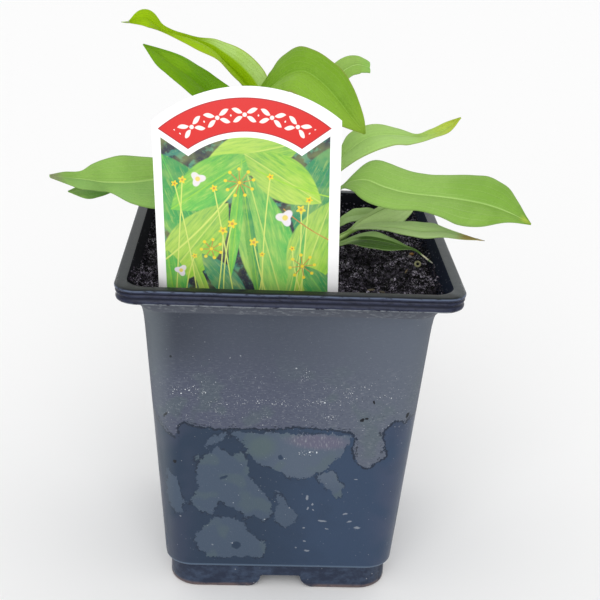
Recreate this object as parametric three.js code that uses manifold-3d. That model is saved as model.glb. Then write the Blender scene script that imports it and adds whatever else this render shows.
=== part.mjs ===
// A young water plantain in a square nursery pot: twelve long-stalked leaves from one crown,
// the soil they grow in, the moulded pot and a picture card pushed into the soil.
// Millimetres, +Z up. The origin is on the ground under the middle of the pot; -Y is the front.
import * as THREE from 'three';
import { mergeVertices } from 'three/addons/utils/BufferGeometryUtils.js';
import Module from 'manifold-3d';

const wasm = await Module();
wasm.setup();

// Driving dimensions
const CLEARANCE = 0.3;

const POT = {
  height: 100,
  rimHalf: 45.8,
  rimCorner: 6,
  flangeWidth: 3.4,
  flangeThickness: 1.2,
  skirtHeight: 4.1,
  skirtThickness: 1.1,
  collarHalf: 40.7,
  collarBottom: 92.5,
  collarTop: 97.6,
  collarFlare: 1.4,
  bodyTopHalf: 39.2,
  bodyTop: 90,
  bodyBottomHalf: 33.5,
  bodyBottom: 9.4,
  bodyCorner: 8,
  wall: 1,
  footHalf: 32.1,
  footTop: 7.8,
  footCorner: 8.5,
  footRounding: 2.4,
  floorTop: 5.6,
  channelWidth: 14,
  channelHeight: 4,
  drainRadius: 3,
  drainSpacing: 20,
};

const SOIL = {
  level: 94.4,
  mound: 0.6,
  moundRadius: 22,
  lump: 0.45,
};

const CROWN = {
  x: 5,
  y: 0,
  z: 92,
  radius: 8.5,
  height: 7,
  foot: 3,
};

const CARD = {
  x: -11,
  y: -36.4,
  z: 97,
  lean: THREE.MathUtils.degToRad(2),
  tilt: THREE.MathUtils.degToRad(2.5),
  width: 47,
  thickness: 0.5,
  archCentre: 18.7,
  archRadius: 36,
  shoulder: -4,
  neckWidth: 15,
  neckTop: -13,
  neckBottom: -28,
  tipWidth: 2,
  tip: -35,
};

const LEAF = {
  baseRadius: 1.1,
  neckRadius: 0.7,
  bladeHalfThickness: 0.25,
  edgeHalfThickness: 0.12,
  ribLength: 0.7,
  crossArch: 0.1,
  tipHalfWidth: 0.2,
  neckLength: 0.1,
};

// Each leaf: stalk points from the crown, midrib points along the blade, half widths of the blade to
// the left and right of its midrib at even steps between base and tip, and the roll of the blade
// about the midrib and the upward fold of its halves, in degrees, at even steps.
const LEAVES = [
  {
    name: 'leaf_upper_left',
    stalk: [[3.1, 5.2, 96], [1, 8.5, 106], [-3, 11.5, 118]],
    blade: [[-7.5, 13, 129], [-10.5, 13, 135], [-14.5, 12, 141], [-21.5, 9.5, 148.5], [-25, 8, 152],
      [-29.5, 6, 154.5], [-36.5, 3, 157], [-41, 1, 160.2], [-45.5, -1, 159.5]],
    left: [3, 4.5, 5.2, 7.1, 8.6, 7.4, 4, 1.2, 3.3],
    right: [3.5, 6.9, 7.3, 6.5, 4.3, 1.4, 1, 1.6, 2.9],
    roll: [-45, -45, -45, -40, -50],
    fold: [40, 40, 35, 20, 10],
  },
  {
    name: 'leaf_mid_left',
    stalk: [[1.6, -2.4, 97], [-1, -3, 107], [-4, -2.5, 115]],
    blade: [[-7, -1, 122], [-13, -1, 129.5], [-17, -2, 134.5], [-21.5, -4, 139.5], [-28, -10, 147],
      [-36, -14, 153.5], [-40, -16, 156.5]],
    left: [2, 3.5, 4.5, 5.3, 5.3, 5.4, 6, 6.8, 5.6, 4.5, 3.7],
    right: [4.4, 7.2, 7, 5.2, 3],
    roll: [-50],
    fold: [8],
  },
  {
    name: 'leaf_left',
    stalk: [[0.4, 1.5, 97], [-5, 2.5, 104], [-12, 3, 110]],
    blade: [[-19, 3, 114], [-27, 0, 116.5], [-35, -5, 117.5], [-44, -12, 118], [-51, -16, 119],
      [-55, -19, 120.5], [-59, -21, 121.5], [-63.8, -25, 123]],
    left: [3, 5, 7, 8.5, 9.5, 9.3, 6.8, 3.4, 3.3, 3.3, 2.1],
    right: [2.8, 4.4, 5.4, 5.9, 7.1, 8, 8.1, 7.2, 5.3, 2.3, 1.6],
    tip: 0.5,
    roll: [-45],
    fold: [5],
  },
  {
    name: 'leaf_left_lower',
    stalk: [[0.2, -1.3, 96.8], [-7, -1.5, 102], [-16, 1, 107]],
    blade: [[-26, 2, 110.5], [-35, 0, 112.5], [-41, -3, 114], [-48, -7, 115.5], [-53, -10, 115.5],
      [-61, -14, 115.5]],
    left: [2.4, 3.8, 4.2, 4.1, 3.5, 2.9, 2.7, 3.6, 4],
    right: [4, 5, 4, 3],
    roll: [-30],
    fold: [10],
  },
  {
    name: 'leaf_upper_right',
    stalk: [[2.4, 1.8, 97.5], [-2, 2, 108], [-8, 3.5, 120]],
    blade: [[-11.5, 4, 132], [-9, 3, 138.5], [-6, 1, 143], [-2, 0, 146.5], [2.5, -2, 148],
      [7, -4, 145.8], [11, -6, 142.3], [15, -8, 138], [19.5, -10, 133.3]],
    left: [3.1, 5, 5.8, 5.6, 5.4, 7.4, 8.6, 7.1, 6.7, 6.8, 6.4, 5.6, 4.7, 3.7, 2.3],
    right: [4, 7, 9, 9.5, 9.5, 8.6, 5],
    roll: [30, 35, 40],
    fold: [12],
  },
  {
    name: 'leaf_back',
    stalk: [[6, 5, 96.6], [8.5, 11, 110], [8.5, 15.5, 125]],
    blade: [[7, 17, 137], [12, 18, 142], [15.6, 20, 144.8], [18.6, 22.4, 145.6], [20.9, 23.4, 145.2],
      [22.7, 24.2, 144.5]],
    left: [2.4, 3.3, 3.4, 2.9],
    right: [2.2, 2.7, 2.8, 3],
    tip: 1.9,
    roll: [50],
    fold: [8],
  },
  {
    name: 'leaf_right_back',
    stalk: [[8.6, 3.6, 97], [9.4, 4, 104], [9.4, 3.2, 110]],
    blade: [[10, 1.5, 115], [14, 3, 122], [17.5, 4, 125.5], [22, 6, 128], [26.5, 8, 128.5],
      [31.5, 10, 128], [36.5, 11, 127.5], [40.5, 12, 128], [45, 13, 129.5], [49.5, 14, 133]],
    left: [1, 2.2, 4.4, 4.3, 3.9, 2.9, 1.1, 1.9, 2.2],
    right: [2.4, 4.8, 6.2, 6.4, 6, 5.7, 3, 2, 2],
    roll: [25],
    fold: [10],
  },
  {
    name: 'leaf_right',
    stalk: [[7.6, -0.4, 97.5], [8.4, -1.6, 104], [9.4, -2.2, 109]],
    blade: [[11.5, -2.4, 113.5], [14, -4, 116], [17, -6, 118.5], [21, -8, 119.5], [26, -11, 118.5],
      [32, -14, 118], [40, -18, 118.5], [47, -20.6, 118.5], [53, -23, 118], [59, -25.2, 116.5],
      [63.8, -27, 114.5]],
    left: [0.7, 1.2, 3.9, 7.5, 8.2, 8.4, 8.2, 7.8, 7.6, 7.6, 8.1, 8.6, 9, 9.3, 9.7, 9, 7.9, 5.1, 2.3],
    right: [2.4, 6.8, 8.8, 8.3, 7.7, 9.1, 11.2, 10.3, 4.4],
    roll: [25],
    fold: [8],
  },
  {
    name: 'leaf_right_inner',
    stalk: [[10, -1.7, 96.8], [14.9, -2.3, 99.8]],
    blade: [[17.5, -2.6, 102.6], [20.3, -2.6, 105.5], [23.4, -2, 107.4], [26.6, -1, 108.9],
      [30.1, 0, 110.1], [33.3, 1, 110.6], [36.1, 2, 110.7], [39.2, 3, 110]],
    left: [0.7, 0.9, 1.2, 2.5, 3, 1.6],
    right: [2, 4.6, 6.2, 6.6, 5, 2.2],
    roll: [45],
    fold: [6],
  },
  {
    name: 'leaf_right_low',
    stalk: [[8.8, -4, 96.6], [13, -5.6, 100.5]],
    blade: [[18, -6, 104], [22, -8, 106], [27, -10, 106.7], [32, -13, 107.3], [37, -16, 107.7],
      [42, -19, 109], [46.5, -21, 108.6], [51, -22, 108]],
    left: [1.2, 1.8, 2.4, 3.1, 3.3, 1.2, 0.8],
    right: [1.3, 1.7, 2.3, 3, 3.5, 3, 1.8],
    roll: [25],
    fold: [10],
  },
  {
    name: 'leaf_front_low',
    stalk: [[6.2, -5.2, 96.4], [8.5, -8.4, 98.6]],
    blade: [[11.5, -10, 100.5], [14.5, -12, 102], [18, -15, 104.3], [22, -18, 105.5],
      [26.5, -21, 106], [30.5, -24, 106], [33.5, -26, 106], [36, -27, 104.5], [37.5, -28, 103.5]],
    left: [1.6, 3, 1.9, 0.45],
    right: [1.6, 3.4, 4, 0.6],
    roll: [25],
    fold: [10],
  },
  {
    name: 'leaf_small_inner',
    stalk: [[10.4, 0.7, 96.8], [12.6, 1.5, 99.4]],
    blade: [[14.2, 2.2, 102], [16, 3, 104.3], [18.5, 4, 105], [21.5, 5, 105.2], [25, 6, 105.5],
      [27.5, 7, 105]],
    left: [1.2, 2.4, 2],
    right: [2.5, 2.5, 2],
    roll: [25],
    fold: [10],
  },
];

// Facets
const CORNER_STEPS = 5;
const STALK_STEPS = 6;
const BLADE_STEPS = 16;
const SHORT_BLADE = 40;
const SHORT_STALK_STEPS = 4;
const SHORT_BLADE_STEPS = 12;
const ACROSS = [-1, -0.5, 0, 0.5, 1];
const CURVE_SAMPLES = 400;

// Meshes and solids

function geometryFrom(positions, triangles) {
  const geometry = new THREE.BufferGeometry();
  geometry.setAttribute('position', new THREE.Float32BufferAttribute(positions, 3));
  geometry.setIndex(triangles);
  return geometry;
}

// Rings of equal length, each turning counterclockwise seen from the far end, closed by fans.
function loftRings(rings) {
  const count = rings[0].length;
  const positions = rings.flat().flatMap((point) => [point.x, point.y, point.z]);
  const triangles = [];
  for (let ring = 0; ring < rings.length - 1; ring += 1) {
    for (let i = 0; i < count; i += 1) {
      const next = (i + 1) % count;
      const a = ring * count + i;
      const b = ring * count + next;
      triangles.push(a, b, b + count, a, b + count, a + count);
    }
  }
  const addFan = (ring, reversed) => {
    const centre = new THREE.Vector3();
    rings[ring].forEach((point) => centre.add(point));
    centre.divideScalar(count);
    const hub = positions.length / 3;
    positions.push(centre.x, centre.y, centre.z);
    for (let i = 0; i < count; i += 1) {
      const a = ring * count + i;
      const b = ring * count + ((i + 1) % count);
      triangles.push(hub, reversed ? b : a, reversed ? a : b);
    }
  };
  addFan(0, true);
  addFan(rings.length - 1, false);
  return geometryFrom(positions, triangles);
}

function toSolid(source) {
  const bare = source.clone();
  bare.deleteAttribute('normal');
  bare.deleteAttribute('uv');
  const merged = mergeVertices(bare, 1e-4);
  return new wasm.Manifold(new wasm.Mesh({
    numProp: 3,
    vertProperties: new Float32Array(merged.attributes.position.array),
    triVerts: new Uint32Array(merged.index.array),
  }));
}

function toGeometry(solid) {
  const mesh = solid.getMesh();
  const positions = [];
  for (let i = 0; i < mesh.vertProperties.length; i += mesh.numProp) {
    positions.push(mesh.vertProperties[i], mesh.vertProperties[i + 1], mesh.vertProperties[i + 2]);
  }
  return geometryFrom(positions, Array.from(mesh.triVerts));
}

function boxSolid(width, depth, bottom, top) {
  const box = new THREE.BoxGeometry(width, depth, top - bottom);
  box.translate(0, 0, (top + bottom) / 2);
  return toSolid(box);
}

// Pot

// A square with round corners, flat at height z, counterclockwise seen from above.
function roundedSquare(half, corner, z) {
  const points = [];
  const reach = half - corner;
  const corners = [[1, -1], [1, 1], [-1, 1], [-1, -1]];
  corners.forEach(([signX, signY], quarter) => {
    for (let step = 0; step <= CORNER_STEPS; step += 1) {
      const angle = (quarter - 1 + step / CORNER_STEPS) * (Math.PI / 2);
      const x = signX * reach + corner * Math.cos(angle);
      const y = signY * reach + corner * Math.sin(angle);
      points.push(new THREE.Vector3(x, y, z));
    }
  });
  return points;
}

function bodyHalf(z) {
  const t = (z - POT.bodyBottom) / (POT.bodyTop - POT.bodyBottom);
  return THREE.MathUtils.lerp(POT.bodyBottomHalf, POT.bodyTopHalf, t);
}

function potSolid() {
  const top = POT.height;
  const skirtBottom = top - POT.skirtHeight;
  const flangeUnder = top - POT.flangeThickness;
  const inner = POT.rimHalf - POT.flangeWidth;
  const skirtInner = POT.rimHalf - POT.skirtThickness;
  const outer = [
    [POT.footHalf - POT.footRounding, POT.footCorner - 1.5, 0],
    [POT.footHalf - 0.7, POT.footCorner - 0.5, POT.footRounding * 0.3],
    [POT.footHalf, POT.footCorner, POT.footRounding],
    [POT.footHalf, POT.footCorner, POT.footTop],
    [POT.bodyBottomHalf - 0.3, POT.bodyCorner, POT.footTop + 0.6],
    [POT.bodyBottomHalf, POT.bodyCorner, POT.bodyBottom],
    [POT.bodyTopHalf, POT.bodyCorner, POT.bodyTop],
    [POT.collarHalf, POT.bodyCorner - 0.5, POT.collarBottom],
    [POT.collarHalf + POT.collarFlare, POT.bodyCorner - 1, POT.collarTop],
    [POT.collarHalf + POT.collarFlare + 0.2, POT.bodyCorner - 1.2, flangeUnder],
    [skirtInner, POT.rimCorner - 1, flangeUnder],
    [skirtInner - 0.2, POT.rimCorner - 1, skirtBottom],
    [POT.rimHalf - 0.3, POT.rimCorner, skirtBottom],
    [POT.rimHalf - 0.1, POT.rimCorner, skirtBottom + 0.5],
    [POT.rimHalf - 0.3, POT.rimCorner, top - 2.4],
    [POT.rimHalf - 0.6, POT.rimCorner, top - 2],
    [POT.rimHalf - 0.1, POT.rimCorner, top - 1.6],
    [POT.rimHalf, POT.rimCorner, top - 0.7],
    [POT.rimHalf - 0.3, POT.rimCorner, top - 0.2],
    [POT.rimHalf - 0.9, POT.rimCorner, top],
  ];
  const inside = [
    [inner + 0.4, POT.bodyCorner - 2.5, top],
    [inner - 0.3, POT.bodyCorner - 2.7, top - 0.5],
    [POT.collarHalf + POT.collarFlare - POT.wall, POT.bodyCorner - 2.5, POT.collarTop],
    [POT.collarHalf - POT.wall, POT.bodyCorner - 2, POT.collarBottom],
    [bodyHalf(POT.bodyTop) - POT.wall, POT.bodyCorner - 1.5, POT.bodyTop],
    [POT.bodyBottomHalf - POT.wall, POT.bodyCorner - 1.5, POT.bodyBottom],
    [POT.footHalf - POT.wall - 1, POT.footCorner - 2, POT.floorTop],
  ];
  const rings = [...outer, ...inside].map(([half, corner, z]) => roundedSquare(half, corner, z));
  const length = 2 * POT.rimHalf;
  const channel = boxSolid(POT.channelWidth, length, -POT.channelHeight, POT.channelHeight)
    .add(boxSolid(length, POT.channelWidth, -POT.channelHeight, POT.channelHeight));
  let pot = toSolid(loftRings(rings)).subtract(channel);
  const holes = [[0, 0], [1, 0], [0, 1], [-1, 0], [0, -1]];
  holes.forEach(([stepX, stepY]) => {
    const drain = new THREE.CylinderGeometry(POT.drainRadius, POT.drainRadius, POT.floorTop * 2, 12);
    drain.rotateX(Math.PI / 2);
    drain.translate(stepX * POT.drainSpacing, stepY * POT.drainSpacing, POT.floorTop);
    pot = pot.subtract(toSolid(drain));
  });
  return pot;
}

// Soil

// Height of the soil: a low mound round the crown with a few broad lumps.
function soilHeight(x, y) {
  const away = Math.hypot(x - CROWN.x, y - CROWN.y) / SOIL.moundRadius;
  const mound = SOIL.mound * Math.exp(-away * away);
  const waves = Math.sin(0.31 * x + 0.9) * Math.cos(0.27 * y - 0.4)
    + 0.6 * Math.sin(0.52 * x - 0.43 * y + 2.1);
  return SOIL.level + mound + SOIL.lump * waves;
}

function soilSolid(crownRoom, cardRoom) {
  const slack = POT.wall + CLEARANCE;
  const sides = [
    [POT.footHalf - slack - 1.1, POT.footCorner - 2, POT.floorTop + CLEARANCE],
    [POT.bodyBottomHalf - slack - 0.1, POT.bodyCorner - 1.5, POT.bodyBottom + CLEARANCE],
    [POT.bodyTopHalf - slack, POT.bodyCorner - 1.5, POT.bodyTop],
    [POT.bodyTopHalf - slack + 0.5, POT.bodyCorner - 1.5, POT.bodyTop + 1.3],
  ];
  const rings = sides.map(([half, corner, z]) => roundedSquare(half, corner, z));
  const edgeHalf = POT.collarHalf - slack + 0.3;
  const shares = [1, 0.93, 0.84, 0.74, 0.63, 0.52, 0.41, 0.3, 0.19, 0.08];
  shares.forEach((share) => {
    const ring = roundedSquare(edgeHalf * share, (POT.bodyCorner - 1.5) * share, 0);
    ring.forEach((point) => {
      point.z = soilHeight(point.x, point.y);
    });
    rings.push(ring);
  });
  return toSolid(loftRings(rings)).subtract(crownRoom).subtract(cardRoom);
}

// Crown

// The short stock that the leaf stalks spring from: a low dome with a blunt end in the soil.
function crownSolid(grow) {
  const radius = CROWN.radius + grow;
  const height = CROWN.height + grow;
  const profile = [new THREE.Vector2(0, -CROWN.foot - grow)];
  profile.push(new THREE.Vector2(radius * 0.6, -CROWN.foot - grow));
  const steps = 7;
  for (let step = 0; step < steps; step += 1) {
    const angle = (step / steps) * (Math.PI / 2);
    profile.push(new THREE.Vector2(radius * Math.cos(angle), height * Math.sin(angle)));
  }
  profile.push(new THREE.Vector2(0, height));
  const dome = new THREE.LatheGeometry(profile, 20);
  dome.rotateX(Math.PI / 2);
  dome.translate(CROWN.x, CROWN.y, CROWN.z);
  return toSolid(dome);
}

// Card

// The card stands in the soil: an arched top, straight sides and a stake that narrows to a point.
function cardSolid(grow) {
  const half = CARD.width / 2 + grow;
  const radius = CARD.archRadius + grow;
  const shoulderAngle = Math.acos(half / radius);
  const stakeHalf = CARD.neckWidth / 2 + grow;
  const outline = new THREE.Shape();
  outline.moveTo(stakeHalf, CARD.neckTop - grow);
  outline.lineTo(half, CARD.shoulder - grow);
  outline.absarc(0, CARD.archCentre, radius, shoulderAngle, Math.PI - shoulderAngle, false);
  outline.lineTo(-half, CARD.shoulder - grow);
  outline.lineTo(-stakeHalf, CARD.neckTop - grow);
  outline.lineTo(-stakeHalf, CARD.neckBottom);
  outline.lineTo(-CARD.tipWidth / 2 - grow, CARD.tip - grow);
  outline.lineTo(CARD.tipWidth / 2 + grow, CARD.tip - grow);
  outline.lineTo(stakeHalf, CARD.neckBottom);
  outline.closePath();
  const depth = CARD.thickness + 2 * grow;
  const card = new THREE.ExtrudeGeometry(outline, { depth, bevelEnabled: false, curveSegments: 16 });
  card.rotateX(Math.PI / 2);
  card.translate(0, depth / 2, 0);
  card.rotateY(-CARD.lean);
  card.rotateX(CARD.tilt);
  card.translate(CARD.x, CARD.y, CARD.z);
  return toSolid(card);
}

// Leaves

// A smooth curve through values that stand at even steps from 0 to 1.
function throughValues(values, t) {
  if (values.length === 1) {
    return values[0];
  }
  const last = values.length - 1;
  const ends = [2 * values[0] - values[1], ...values, 2 * values[last] - values[last - 1]];
  const index = Math.min(Math.floor(t * last), last - 1);
  const u = t * last - index;
  const [a, b, c, d] = ends.slice(index, index + 4);
  const slope = (c - a) * u;
  const bend = (2 * a - 5 * b + 4 * c - d) * u * u;
  const turn = (3 * b - a - 3 * c + d) * u * u * u;
  return 0.5 * (2 * b + slope + bend + turn);
}

// Points at even distances along the part of a curve between two of its parameters.
function evenPoints(curve, from, to, steps) {
  const fine = [];
  const travelled = [0];
  for (let i = 0; i <= CURVE_SAMPLES; i += 1) {
    fine.push(curve.getPoint(THREE.MathUtils.lerp(from, to, i / CURVE_SAMPLES)));
    if (i > 0) {
      travelled.push(travelled[i - 1] + fine[i].distanceTo(fine[i - 1]));
    }
  }
  const points = [];
  let at = 0;
  for (let step = 0; step <= steps; step += 1) {
    const goal = (travelled[CURVE_SAMPLES] * step) / steps;
    while (at < CURVE_SAMPLES - 1 && travelled[at + 1] < goal) {
      at += 1;
    }
    const share = (goal - travelled[at]) / (travelled[at + 1] - travelled[at]);
    points.push(new THREE.Vector3().lerpVectors(fine[at], fine[at + 1], share));
  }
  return { points, length: travelled[CURVE_SAMPLES] };
}

function directionsAlong(points) {
  return points.map((point, i) => {
    const before = points[Math.max(i - 1, 0)];
    const after = points[Math.min(i + 1, points.length - 1)];
    return new THREE.Vector3().subVectors(after, before).normalize();
  });
}

// One ring round the stalk: an almost round section, with the same point order as the blade.
function stalkRing(centre, side, normal, radius) {
  const edge = (across, up) => centre.clone()
    .addScaledVector(side, across * radius)
    .addScaledVector(normal, up * radius * Math.max(Math.sqrt(1 - across * across), 0.35));
  return ringOrder(edge);
}

// Over the upper face from left to right, then back under the lower face.
function ringOrder(at) {
  const upper = ACROSS.map((across) => at(across, 1));
  const lower = ACROSS.map((across) => at(across, -1));
  return [...upper, ...lower.reverse()];
}

function bladeRing(leaf, t, centre, side, normal) {
  const roll = THREE.MathUtils.degToRad(throughValues(leaf.roll, t));
  const fold = THREE.MathUtils.degToRad(throughValues(leaf.fold, t));
  const tip = leaf.tip ?? LEAF.tipHalfWidth;
  const widthAt = (values) => Math.max(
    throughValues([LEAF.neckRadius, ...values, tip], t),
    LEAF.tipHalfWidth,
  );
  const leftWidth = widthAt(leaf.left);
  const rightWidth = widthAt(leaf.right);
  const rib = LEAF.neckRadius * Math.max(1 - t / LEAF.ribLength, 0);
  const ribDepth = Math.max(rib, LEAF.bladeHalfThickness);
  const at = (across, up) => {
    const angle = across < 0 ? roll + fold : roll - fold;
    const out = side.clone().multiplyScalar(Math.cos(angle)).addScaledVector(normal, -Math.sin(angle));
    const over = normal.clone().multiplyScalar(Math.cos(angle)).addScaledVector(side, Math.sin(angle));
    const width = across < 0 ? leftWidth : rightWidth;
    const reach = Math.abs(across);
    const arch = LEAF.crossArch * width * 4 * reach * (1 - reach);
    let half = THREE.MathUtils.lerp(LEAF.bladeHalfThickness, LEAF.edgeHalfThickness, reach);
    if (across === 0) {
      over.copy(normal).multiplyScalar(Math.cos(roll)).addScaledVector(side, Math.sin(roll));
      half = up > 0 ? LEAF.bladeHalfThickness : ribDepth;
    }
    return centre.clone()
      .addScaledVector(out, across * width)
      .addScaledVector(over, arch + up * half);
  };
  return ringOrder(at);
}

function leafSolid(leaf, crownRoom) {
  const knots = [...leaf.stalk, ...leaf.blade].map((point) => new THREE.Vector3(...point));
  const curve = new THREE.CatmullRomCurve3(knots, false, 'catmullrom', 0.5);
  const joint = leaf.stalk.length / (knots.length - 1);
  const { length } = evenPoints(curve, joint, 1, 1);
  const isShort = length < SHORT_BLADE;
  const stalkSteps = isShort ? SHORT_STALK_STEPS : STALK_STEPS;
  const bladeSteps = isShort ? SHORT_BLADE_STEPS : BLADE_STEPS;
  const stalk = evenPoints(curve, 0, joint, stalkSteps).points;
  const blade = evenPoints(curve, joint, 1, bladeSteps).points;
  const spine = [...stalk.slice(0, -1), ...blade];
  const along = directionsAlong(spine);
  const upright = new THREE.Vector3(0, 0, 1);
  const sides = spine.map((point, i) => new THREE.Vector3().crossVectors(along[i], upright));
  for (let i = stalkSteps - 1; i >= 0; i -= 1) {
    sides[i].copy(sides[i + 1]).addScaledVector(along[i], -sides[i + 1].dot(along[i]));
  }
  const rings = spine.map((centre, i) => {
    const side = sides[i].normalize();
    const normal = new THREE.Vector3().crossVectors(side, along[i]);
    const t = Math.max(i - stalkSteps, 0) / bladeSteps;
    const upStalk = Math.min(i / stalkSteps, 1);
    const radius = THREE.MathUtils.lerp(LEAF.baseRadius, LEAF.neckRadius, upStalk);
    const round = stalkRing(centre, side, normal, radius);
    if (i < stalkSteps) {
      return round;
    }
    const flat = bladeRing(leaf, t, centre, side, normal);
    const share = THREE.MathUtils.smoothstep(t, 0, LEAF.neckLength);
    return round.map((point, k) => point.lerp(flat[k], share));
  });
  return toSolid(loftRings(rings)).subtract(crownRoom);
}

// Assembly

const FINISHES = {
  pot: { color: 0x4a5260, roughness: 0.45, metalness: 0 },
  soil: { color: 0x2a2422, roughness: 0.95, metalness: 0 },
  crown: { color: 0x9aa860, roughness: 0.7, metalness: 0 },
  card: { color: 0xf2f2ee, roughness: 0.35, metalness: 0 },
  leaf: { color: 0x7fa83c, roughness: 0.5, metalness: 0 },
};

const plant = new THREE.Group();

function addPiece(name, solid, finish) {
  const mesh = new THREE.Mesh(toGeometry(solid), new THREE.MeshStandardMaterial(FINISHES[finish]));
  mesh.name = name;
  plant.add(mesh);
}

const crownRoom = crownSolid(CLEARANCE);
addPiece('pot', potSolid(), 'pot');
addPiece('soil', soilSolid(crownRoom, cardSolid(CLEARANCE)), 'soil');
addPiece('crown', crownSolid(0), 'crown');
addPiece('label_card', cardSolid(0), 'card');
LEAVES.forEach((leaf) => addPiece(leaf.name, leafSolid(leaf, crownRoom), 'leaf'));

export default plant;
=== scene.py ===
"""A young water plantain in a square nursery pot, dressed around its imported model.

The classes keep their sizes in millimetres, +Z up, with the ground at z = 0 and the front towards -Y, and
turn them into metres where a mesh is made. Shaders read the same millimetres.
"""

import logging
import math
from dataclasses import dataclass, field
from enum import Enum

import bpy
import numpy as np
from mathutils import Matrix, Vector, noise


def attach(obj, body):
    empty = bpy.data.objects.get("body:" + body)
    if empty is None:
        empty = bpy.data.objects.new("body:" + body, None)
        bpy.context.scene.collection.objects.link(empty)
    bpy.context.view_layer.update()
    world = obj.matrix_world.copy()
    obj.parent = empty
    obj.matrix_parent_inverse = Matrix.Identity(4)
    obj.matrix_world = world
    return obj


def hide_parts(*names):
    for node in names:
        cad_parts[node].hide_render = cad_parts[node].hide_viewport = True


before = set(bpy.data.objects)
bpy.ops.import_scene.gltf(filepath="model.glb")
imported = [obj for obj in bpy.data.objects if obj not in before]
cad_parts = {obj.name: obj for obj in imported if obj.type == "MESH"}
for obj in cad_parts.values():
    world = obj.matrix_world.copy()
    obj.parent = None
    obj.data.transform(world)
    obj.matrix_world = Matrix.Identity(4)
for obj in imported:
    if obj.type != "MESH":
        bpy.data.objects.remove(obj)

LOG = logging.getLogger("plantain")
METRES = 0.001
BODY = "root"

Colour = tuple[float, float, float, float]
Outline = list[tuple[float, float]]
Points = list[tuple[float, float, float]]
Faces = list[tuple[int, ...]]
Socket = bpy.types.NodeSocket
Material = bpy.types.Material
Piece = bpy.types.Object
Paint = Socket | Colour


def srgb(red: float, green: float, blue: float) -> Colour:
    """Turn a display colour into the linear colour that a shader takes.

    Args:
        red: Red from 0 to 255.
        green: Green from 0 to 255.
        blue: Blue from 0 to 255.

    Returns:
        The linear colour with full alpha.
    """
    shares = [channel / 255 for channel in (red, green, blue)]
    linear = [c / 12.92 if c <= 0.04045 else ((c + 0.055) / 1.055) ** 2.4 for c in shares]
    return (*linear, 1.0)


# Shader maths


class Wire:
    """A number in a shader, on which maths is written as Python."""

    def __init__(self, tree: "ShaderTree", socket: Socket) -> None:
        """Keep the tree and the socket that carries the number."""
        self.tree = tree
        self.socket = socket

    def maths(self, operation: str, *values: "Number") -> "Wire":
        """Return the result of a Math node with these inputs in order."""
        inputs = dict(enumerate(values))
        return Wire(self.tree, self.tree.node("ShaderNodeMath", {"operation": operation}, inputs))

    def __add__(self, other: "Number") -> "Wire":
        """Add."""
        return self.maths("ADD", self, other)

    def __sub__(self, other: "Number") -> "Wire":
        """Subtract."""
        return self.maths("SUBTRACT", self, other)

    def __rsub__(self, other: "Number") -> "Wire":
        """Subtract this from a number."""
        return self.maths("SUBTRACT", other, self)

    def __mul__(self, other: "Number") -> "Wire":
        """Multiply."""
        return self.maths("MULTIPLY", self, other)

    def __truediv__(self, other: "Number") -> "Wire":
        """Divide."""
        return self.maths("DIVIDE", self, other)

    __radd__ = __add__
    __rmul__ = __mul__

    def size(self) -> "Wire":
        """Return the number without its sign."""
        return self.maths("ABSOLUTE", self)

    def least(self, other: "Number") -> "Wire":
        """Return the smaller of the two."""
        return self.maths("MINIMUM", self, other)

    def most(self, other: "Number") -> "Wire":
        """Return the larger of the two."""
        return self.maths("MAXIMUM", self, other)

    def sine(self) -> "Wire":
        """Return the sine of this angle in radians."""
        return self.maths("SINE", self)

    def turn_from(self, other: "Number") -> "Wire":
        """Return the angle whose tangent is this over the other."""
        return self.maths("ARCTAN2", self, other)

    def part(self) -> "Wire":
        """Return what is left over from the whole number below."""
        return self.maths("FRACT", self)

    def rise(self, low: float, high: float) -> "Wire":
        """Ease from 0 to 1, held at 0 and 1 outside.

        Args:
            low: Where the number gives 0.
            high: Where it gives 1.

        Returns:
            The eased share.
        """
        settings = {"interpolation_type": "SMOOTHSTEP"}
        values = {"Value": self, "From Min": low, "From Max": high}
        return Wire(self.tree, self.tree.node("ShaderNodeMapRange", settings, values))

    def fall(self, low: float, high: float) -> "Wire":
        """Ease from 1 at low to 0 at high."""
        return 1 - self.rise(low, high)

    def band(self, middle: float, half: float, soft: float) -> "Wire":
        """Return 1 within half of a middle value, easing to 0 over soft."""
        return (self - middle).size().fall(half, half + soft)


Number = Wire | float


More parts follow.
